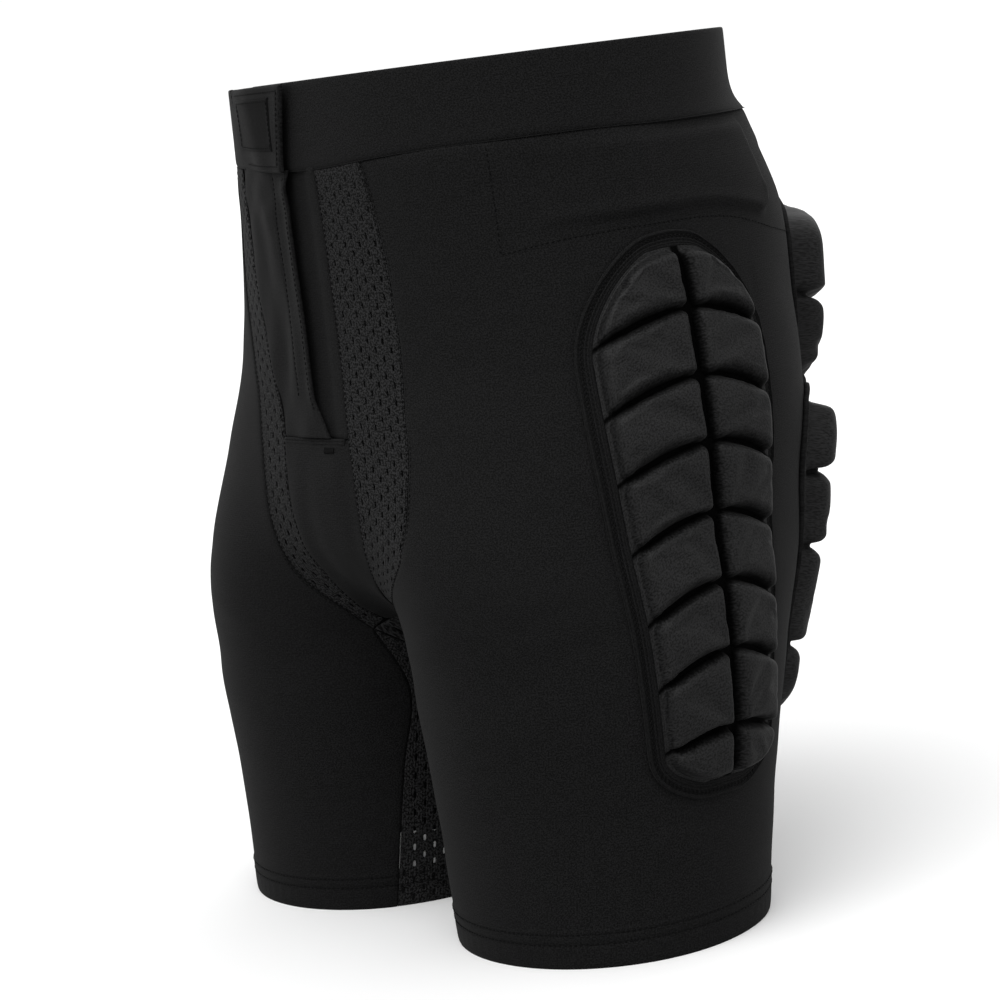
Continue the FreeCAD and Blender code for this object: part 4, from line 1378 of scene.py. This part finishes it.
def build_flap():
    """The fly front and the flap in one cloth, from the right mesh strip to the free edge."""
    low, high = POUCH_SEAM + 0.3, WAIST_SEAM + 1.0
    z = low + (high - low) * edge_steps(high - low, 1.7)
    share = edge_steps(60.0, 1.3, (0.0, 0.3, 0.7, 1.2))
    base, normal = front_sheet(-table_x(RIGHT_STRIP_INNER, z), z, table_x(FREE_EDGE, z), z, share)
    x, z = base[..., 0], base[..., 2]
    to_edge = table_x(FREE_EDGE, z) - x
    lift = fly_lift(x, z)
    drape = 0.55 * noise(base * np.array([1.5, 1, 0.45]), 20) * step_up(to_edge / 6)
    drape += 0.5 * noise(base * np.array([1.0, 1, 1.3]) + 9, 13) * step_up((z - 345) / 35)
    crease = -0.35 * bump(to_edge, FLAP_HEM, 0.9) * step_up((z - 275) / 10)
    rounded = -0.9 * (1 - np.sqrt(np.clip(1 - np.clip(1 - to_edge / 1.1, 0, 1) ** 2, 0, 1)))
    tuck = -0.6 * np.exp(-(x + table_x(RIGHT_STRIP_INNER, z)) / 0.8)
    tuck -= 0.6 * np.exp(-(z - low) / 0.8)
    top = lift + drape + crease + rounded + tuck
    thick = FABRIC + 1.0 * step_up((FLAP_HEM - to_edge) / 1.5) * step_up((z - 272) / 8)
    bottom = lift + drape + tuck - thick + 0.5 * np.clip(1 - to_edge / 0.8, 0, 1)
    flap = thick_sheet("fly_flap", base, normal, top, np.minimum(bottom, top - 0.25))
    dress(flap, "shell_knit", body=None, replaces=["fly_flap", "fly_front_right", "flap_facing"])
    across_fold(flap)
    return base, normal, top


def fold_frame():
    """A point of the fold axis and the direction across it, along the cloth, in metres."""
    joint = next(j for j in frame["joints"] if j["name"] == "fly_fold")
    axis = Vector(joint["axis"]).normalized()
    middle = Vector(joint["pos_m"])
    z = middle.z / MM
    p = front(np.array(fold_x(z)), np.array(z))
    across = Vector(outward(p)).cross(axis).normalized()
    if across.x < 0:
        across.negate()
    return middle, across


FOLD_BEND = (-2.5, 5.0)  # distances from the fold line on either side of it


def across_fold(obj):
    """Bakes the piece's transform into its points; the points either side of the fold line are worked out but the
    piece is not bent.
    """
    middle, across = fold_frame()
    start, end = (middle + across * d * MM for d in FOLD_BEND)
    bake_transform(obj)
    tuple(start)
    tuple(end)


def flap_stitches(base, normal, top):
    """Rows of stitches that ride on the flap: beside its free edge and along its facing."""
    z = base[:, 0, 2]
    rows = []
    for inset, start in ((2.6, 268), (FLAP_HEM, 276)):
        paths = []
        for r in np.flatnonzero((z > start) & (z < WAIST_SEAM - 2)):
            x = table_x(FREE_EDGE, z[r]) - inset
            at = r, int(np.argmin(np.abs(base[r, :, 0] - x)))
            paths.append((base[at] + normal[at] * (top[at] + 0.05), normal[at]))
        rows.append(tuple(np.array(v) for v in zip(*paths)))
    rows = [(smooth_path(path), up) for path, up in rows]
    thread = stitches("flap_stitching", rows, 2.6, 1.7, 0.5)
    dress(thread, "thread", body="fly")


def smooth_path(path, turns=8):
    path = path.copy()
    for _ in range(turns):
        path[1:-1] = (path[:-2] + 2 * path[1:-1] + path[2:]) / 4
    return path


def build_underlap():
    z = np.linspace(POUCH_SEAM + 0.3, WAIST_SEAM + 2, 70)
    share = edge_steps(50.0, 1.8)
    base, normal = front_sheet(fold_x(z) - 12.0, z, table_x(LEFT_STRIP_INNER, z), z, share)
    to_seam = table_x(LEFT_STRIP_INNER, base[..., 2]) - base[..., 0]
    drop = -1.5 * step_up((to_seam - 4) / 9) - 0.5 * np.exp(-to_seam / 0.8)
    drop += 0.2 * noise(base, 18) * step_up(to_seam / 6)
    underlap = thick_sheet("fly_underlap", base, normal, drop, drop - FABRIC)
    dress(underlap, "shell_knit", replaces=["fly_underlap"])


def build_welt():
    """The raised double ridge along the pouch seam, and the bartack below it."""
    left, right = (corner.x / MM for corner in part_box("pouch_welt"))
    z = np.linspace(POUCH_SEAM - 2.8, POUCH_SEAM + 0.2, 19)
    x = np.linspace(left, right, 60)
    base = front(np.broadcast_to(x, (19, 60)), np.broadcast_to(z[:, None], (19, 60)))
    share = np.linspace(0, 1, 19)[:, None]
    ridge = 0.1 + 0.5 * np.abs(np.sin(share * 2 * math.pi)) ** 0.6
    ends = np.sqrt(np.clip(np.minimum(x - left, right - x) / 1.5, 0, 1))[None]
    top = ridge * ends + 0.08 * np.sin(x * 2 * math.pi / 2.6)[None] * np.sin(share * math.pi)
    welt = thick_sheet("pouch_welt", base, outward(base), top, -0.1)
    dress(welt, "binding", replaces=["pouch_welt"])
    low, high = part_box("fly_bartack")
    rows = []
    for x in np.arange(low.x / MM, high.x / MM, 0.85):
        path = front(np.full(8, x), np.linspace(low.z / MM, high.z / MM, 8))
        rows.append((path + outward(path) * 0.35, outward(path)))
    x = np.linspace(low.x / MM, high.x / MM, max(int(abs(high.x - low.x) / MM / 0.8), 4))
    path = front(x, np.full(x.shape, (low.z + high.z) / 2 / MM))
    rows.append((path + outward(path) * 0.15, outward(path)))
    bartack = stitches("fly_bartack", rows, 3.4, 3.2, 0.75, 0.0)
    dress(bartack, "thread", replaces=["fly_bartack"])


# ---- waistband and tab ---------------------------------------------------------------------------
def waist_angles(z):
    """Bearings of the waistband about the garment's middle: its left end and its right end."""
    middle_y = smooth(z, LEG, 5)
    left = front(np.full(z.shape, LEFT_END_X), z)
    right = front(fold_x(z) - 0.9, z)
    start = np.arctan2(left[..., 1] - middle_y, left[..., 0])
    end = np.arctan2(right[..., 1] - middle_y, right[..., 0]) + 2 * math.pi
    return start, end


WAIST_MIDDLE_Y = 50


def waist_relief(p):
    """The band hangs straight and flares out only near its lower edge, most at the back."""
    down = np.clip((WAIST_TOP - p[..., 2]) / (WAIST_TOP - WAIST_SEAM), 0, 1)
    sideways = np.arctan2(p[..., 1] - WAIST_MIDDLE_Y, np.abs(p[..., 0]))
    rear = step_up((np.degrees(sideways) + 15) / 70)
    wave = 0.3 * noise(p * np.array([1, 1, 0.3]), 55)
    return 6.4 * (down**6 - down) * rear + wave + 1.4 * rear * down**8


def band_path(depth, crown):
    """Profile of a folded band, up from its seam and down inside: height, depth and tilt."""
    height = WAIST_TOP - WAIST_SEAM
    up = np.concatenate([[0.0, 0.4, 1.0, 2.0], np.linspace(3.5, height - 1, 16)])
    over = np.linspace(0, math.pi, 9)[1:-1]
    radius = depth / 2
    z = np.concatenate([up, height + crown + np.sin(over) * radius, up[::-1]])
    flat = np.ones(up.size)
    out = np.concatenate([0 * flat, -radius + np.cos(over) * radius, -depth * flat])
    tilt = np.concatenate([0 * flat, over, math.pi * flat])
    return WAIST_SEAM + z, out, tilt


def build_waistband():
    """The outer layer, folded over the elastic at the top, from the left end round to the fold."""
    z, out, tilt = band_path(2.2, 0.2)
    level = np.minimum(z, WAIST_TOP)
    start, end = waist_angles(level)
    share = edge_steps(800.0, 3.0)
    angle = start[:, None] + (end - start)[:, None] * share[None]
    middle = stack(0.0, smooth(level, LEG, 5), level)
    direction = stack(np.cos(angle), np.sin(angle), 0.0)
    p = reach(np.broadcast_to(middle[:, None], direction.shape), direction)
    normal = level_normal(p)
    relief = waist_relief(p)
    seam = np.exp(-(z - WAIST_SEAM) / 0.9)[:, None] * np.cos(tilt)[:, None]
    p = p + normal * (relief + out[:, None] - 1.2 * seam)[..., None]
    p[..., 2] = z[:, None]
    across = normal * np.cos(tilt)[:, None, None]
    across[..., 2] += np.sin(tilt)[:, None]
    band = thick_sheet("waistband_outer", p, across, 0.0, -0.8)
    layers = [f"waistband_{layer}" for layer in ("outer", "elastic", "lining")]
    dress(band, "waistband_knit", replaces=layers)


def tab_top(x, z):
    """Height of the tab's outside: level with the band at the fold, over its end further on."""
    past = x - fold_x(z)
    return 0.05 + 3.9 * step_up((past - 4) / 34)


def build_tab():
    """The end of the waistband, which wraps over to the wearer's left."""
    low, high = WAIST_SEAM - 0.2, WAIST_TOP + 1.0
    z = low + (high - low) * edge_steps(high - low, 1.6, (0.0, 0.25, 0.6, 1.1, 1.7))
    share = edge_steps(80.0, 1.5, (0.0, 0.25, 0.6, 1.1, 1.7))
    level = np.minimum(z, WAIST_TOP)
    base, normal = front_sheet(fold_x(level) - 0.6, level, table_x(FREE_EDGE, level), level, share)
    x = base[..., 0]
    base[..., 2] = z[:, None]
    to_side = table_x(FREE_EDGE, level)[:, None] - x
    to_edge = np.minimum(to_side, np.minimum(z - low, high - z)[:, None])
    round_off = 1 - np.sqrt(np.clip(1 - np.clip(1 - to_edge / 1.7, 0, 1) ** 2, 0, 1))
    puff_up = 0.35 * step_up(to_edge / 6) + 0.25 * noise(base, 12) * step_up(to_edge / 5)
    gape = 1.8 * np.exp(-((to_side / 9) ** 2))
    sew = -0.3 * (bump(to_edge, 3.2, 0.7) + bump(to_edge, 6.0, 0.7))
    height = tab_top(x, base[..., 2])
    top = height + puff_up + sew + gape - 1.6 * round_off
    bottom = height + gape - 2.5 + 0.7 * round_off
    tab = thick_sheet("tab_outer", base, normal, top, np.minimum(bottom, top - 0.1))
    dress(tab, "waistband_knit", body=None, replaces=["tab_outer", "tab_elastic", "tab_lining"])
    across_fold(tab)


def tab_level(x, z):
    """Lift of the tab's surface at one place, for what is sewn on it."""
    to_side = table_x(FREE_EDGE, z) - x
    return tab_top(x, z) + 0.3 + 1.8 * np.exp(-((to_side / 9) ** 2))


def tab_row(x0, z0, x1, z1, lift=0.0):
    """A straight row of thread on the tab."""
    count = max(int(math.hypot(x1 - x0, z1 - z0) / 0.8), 6)
    x, z = np.linspace(x0, x1, count), np.linspace(z0, z1, count)
    path = front(x, z)
    normal = outward(path)
    return path + normal * (tab_level(x, z) + lift)[:, None], normal


def build_label():
    """A plain woven label with a raised selvedge and a stitched bar at its top and bottom."""
    low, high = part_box("woven_label")
    x0, x1, z0, z1 = low.x / MM, high.x / MM, low.z / MM, high.z / MM
    z = z0 + (z1 - z0) * edge_steps(z1 - z0, 1.2)
    x = x0 + (x1 - x0) * edge_steps(x1 - x0, 1.5)
    xx, zz = np.meshgrid(x, z)
    base = front(xx, zz)
    inset = np.minimum.reduce([xx - x0, x1 - xx, zz - z0, z1 - zz])
    selvedge = 0.3 * bump(inset, 1.0, 0.6)
    bars = 0.25 * (bump(zz, z0 + 3.2, 1.1) + bump(zz, z1 - 3.2, 1.1)) * step_up((inset - 1.5) / 1.5)
    lift = tab_level(xx, zz)
    edge = 0.35 * (1 - np.clip(inset / 0.6, 0, 1))
    top = lift + 0.45 + selvedge + bars - edge
    label = thick_sheet("woven_label", base, outward(base), top, lift - 0.3)
    dress(label, "label", body="fly", replaces=["woven_label"])
    rows = []
    for level in (z0 + 1.6, z1 - 1.6):
        rows.append(tab_row(x0 + 1.5, level, x1 - 1.5, level, 0.55))
    for x in (x0 + 1.4, x1 - 1.4):
        rows.append(tab_row(x, z0 + 1.6, x, z1 - 1.6, 0.55))
    foot, top = WAIST_SEAM + 3.0, WAIST_TOP - 2.2
    side = table_x(FREE_EDGE, np.array([foot, top])) - 3.2
    rows.append(tab_row(side[0], foot, side[1], top, -0.1))
    rows.append(tab_row(fold_x(foot) + 9, foot, side[0], foot, -0.2))
    rows.append(tab_row(fold_x(top) + 9, top, side[1], top, -0.2))
    thread = stitches("tab_stitching", rows, 2.4, 1.7, 0.5)
    dress(thread, "thread", body="fly")


# ---- seam stitching ------------------------------------------------------------------------------
def seam_rows(side):
    """Stitches beside the seams of one side of the shell."""
    inner, outer = STRIPS[side]
    rows = []
    z = np.linspace(CROTCH_SEAM + 6, WAIST_SEAM - 2, 160)
    for table, shift in ((outer, 1.6), (outer, -1.0), (inner, 0.9)):
        p = front(table_x(table, z, shift), z)
        rows.append(mirror_if(side, p - outward(p) * 0.15, outward(p)))
    z = np.linspace(GUSSET_TAIL + 2, WAIST_SEAM - 3, 120)
    p = back(np.full(z.shape, 2.2), z)
    rows.append(mirror_if(side, p - outward(p) * 0.1, outward(p)))
    v = np.linspace(0.02, 0.99, 100)
    for u in (0.0, 1.0):
        p = thigh_points(np.full(v.shape, u), v, -1.2 / HIP_REACH)
        rows.append(mirror_if(side, p, outward(p)))
    return rows


def build_seams():
    rows = seam_rows("left") + seam_rows("right")
    thread = stitches("seam_stitching", rows, 2.9, 1.9, 0.5)
    dress(thread, "thread")


# ---- assembly ------------------------------------------------------------------------------------
def build_garment():
    for side, (_, outer) in STRIPS.items():
        build_shell(side, outer)
    for side in STRIPS:
        build_hem(side)
        build_iliac(side)
        build_thigh(side)
    for side, edges in STRIPS.items():
        build_strip(side, *edges)
    build_gusset()
    build_pouch()
    build_underlap()
    flap_stitches(*build_flap())
    build_welt()
    build_waistband()
    build_tab()
    build_label()
    build_seams()
    block_draws = rng.uniform(-1, 1, (3, 24))
    build_pad("hip_pad", HIP, block_draws[0], ("left", "right"))
    build_pad("seat_pad", SEAT, block_draws[1], ("left", "right"))
    build_pad("tailbone_pad", TAIL, block_draws[2], ("",))


def finish_cad_nodes():
    """Materials for the CAD nodes that stay as they are."""
    finishes = {"loop_tape": "hook_and_loop", "hook_tape": "hook_and_loop"}
    for name, node in frame["nodes"].items():
        if node.hide_render:
            continue
        finish = finishes.get(name, "lining_solid" if "backing" in name else "elastic")
        node.data.materials.clear()
        node.data.materials.append(MATERIALS[finish])


# ---- studio --------------------------------------------------------------------------------------
FLOOR_SIDE = 60.0
PAPER_SEEN = (0.96, 0.96, 0.96)
PAPER_BOUNCE = (0.45, 0.45, 0.45)  # what the garment gets back from the floor
LIGHTS = (  # direction that each light comes from, strength
    ("key", (0.9, -2.2, 4.0), 1.5),
    ("side", (3.6, 0.6, 3.2), 0.15),
    ("rear", (-1.6, 3.2, 3.2), 0.3),
)
LIGHT_SPREAD = 50  # degrees
GLOW = 1.04
BACKDROP = 1.3
CAMERA_LENS = 107.0
CAMERA_PLACE = (1246.0, -869.7, 424.3)  # about the hems' own axis, in mm
CAMERA_BEARING = 54.097  # degrees from straight in front, towards the wearer's left
CAMERA_DIP = 8.142  # degrees that it looks down
CAMERA_ROLL = -7.289


def build_floor():
    side = FLOOR_SIDE
    mesh = bpy.data.meshes.new("floor")
    corners = ((-side, -side, 0), (side, -side, 0), (side, side, 0), (-side, side, 0))
    mesh.from_pydata(corners, [], [(0, 1, 2, 3)])
    floor = bpy.data.objects.new("floor", mesh)
    bpy.context.scene.collection.objects.link(floor)
    material, tree, node = shader("floor")
    seen = node("LightPath").outputs["Is Camera Ray"]
    paper = shades(node, seen, PAPER_BOUNCE, PAPER_SEEN)
    surface_of(tree, node, Base_Color=paper, Roughness=0.9, Specular_IOR_Level=0.1)
    mesh.materials.append(material)


def soft_sun(name, place, strength):
    """Very soft parallel light that comes from the direction of a place."""
    light = bpy.data.lights.new(name, "SUN")
    light.angle = math.radians(LIGHT_SPREAD)
    light.energy = strength
    lamp = bpy.data.objects.new(name, light)
    lamp.location = place
    lamp.rotation_euler = Vector(place).to_track_quat("Z", "Y").to_euler()
    bpy.context.scene.collection.objects.link(lamp)


def build_world():
    """Even light from all round, and a white backdrop that only the camera sees."""
    world = bpy.data.worlds.new("studio")
    world.use_nodes = True
    tree = world.node_tree
    tree.nodes.clear()
    even = tree.nodes.new("ShaderNodeBackground")
    even.inputs["Strength"].default_value = GLOW
    seen = tree.nodes.new("ShaderNodeBackground")
    seen.inputs["Strength"].default_value = BACKDROP
    rays = tree.nodes.new("ShaderNodeLightPath")
    choose = tree.nodes.new("ShaderNodeMixShader")
    output = tree.nodes.new("ShaderNodeOutputWorld")
    tree.links.new(rays.outputs["Is Camera Ray"], choose.inputs[0])
    tree.links.new(even.outputs[0], choose.inputs[1])
    tree.links.new(seen.outputs[0], choose.inputs[2])
    tree.links.new(choose.outputs[0], output.inputs["Surface"])
    bpy.context.scene.world = world


def build_camera():
    """The camera, looking a little down at the wearer's left front."""
    data = bpy.data.cameras.new("camera")
    data.lens = CAMERA_LENS
    data.sensor_width = 36.0
    data.clip_end = 50.0
    camera = bpy.data.objects.new("camera", data)
    place = (Vector(CAMERA_PLACE) - Vector((0, MIDDLE_Y, 0))) * MM
    camera.matrix_world = Matrix.Translation(place)
    for degrees, axis in ((CAMERA_BEARING, "Z"), (90 - CAMERA_DIP, "X"), (CAMERA_ROLL, "Z")):
        camera.matrix_world @= Matrix.Rotation(math.radians(degrees), 4, axis)
    bpy.context.scene.collection.objects.link(camera)
    bpy.context.scene.camera = camera


build_garment()
finish_cad_nodes()
build_floor()
for light_name, place, strength in LIGHTS:
    soft_sun(light_name, place, strength)
build_world()
build_camera()
bpy.context.scene.view_settings.view_transform = "Standard"
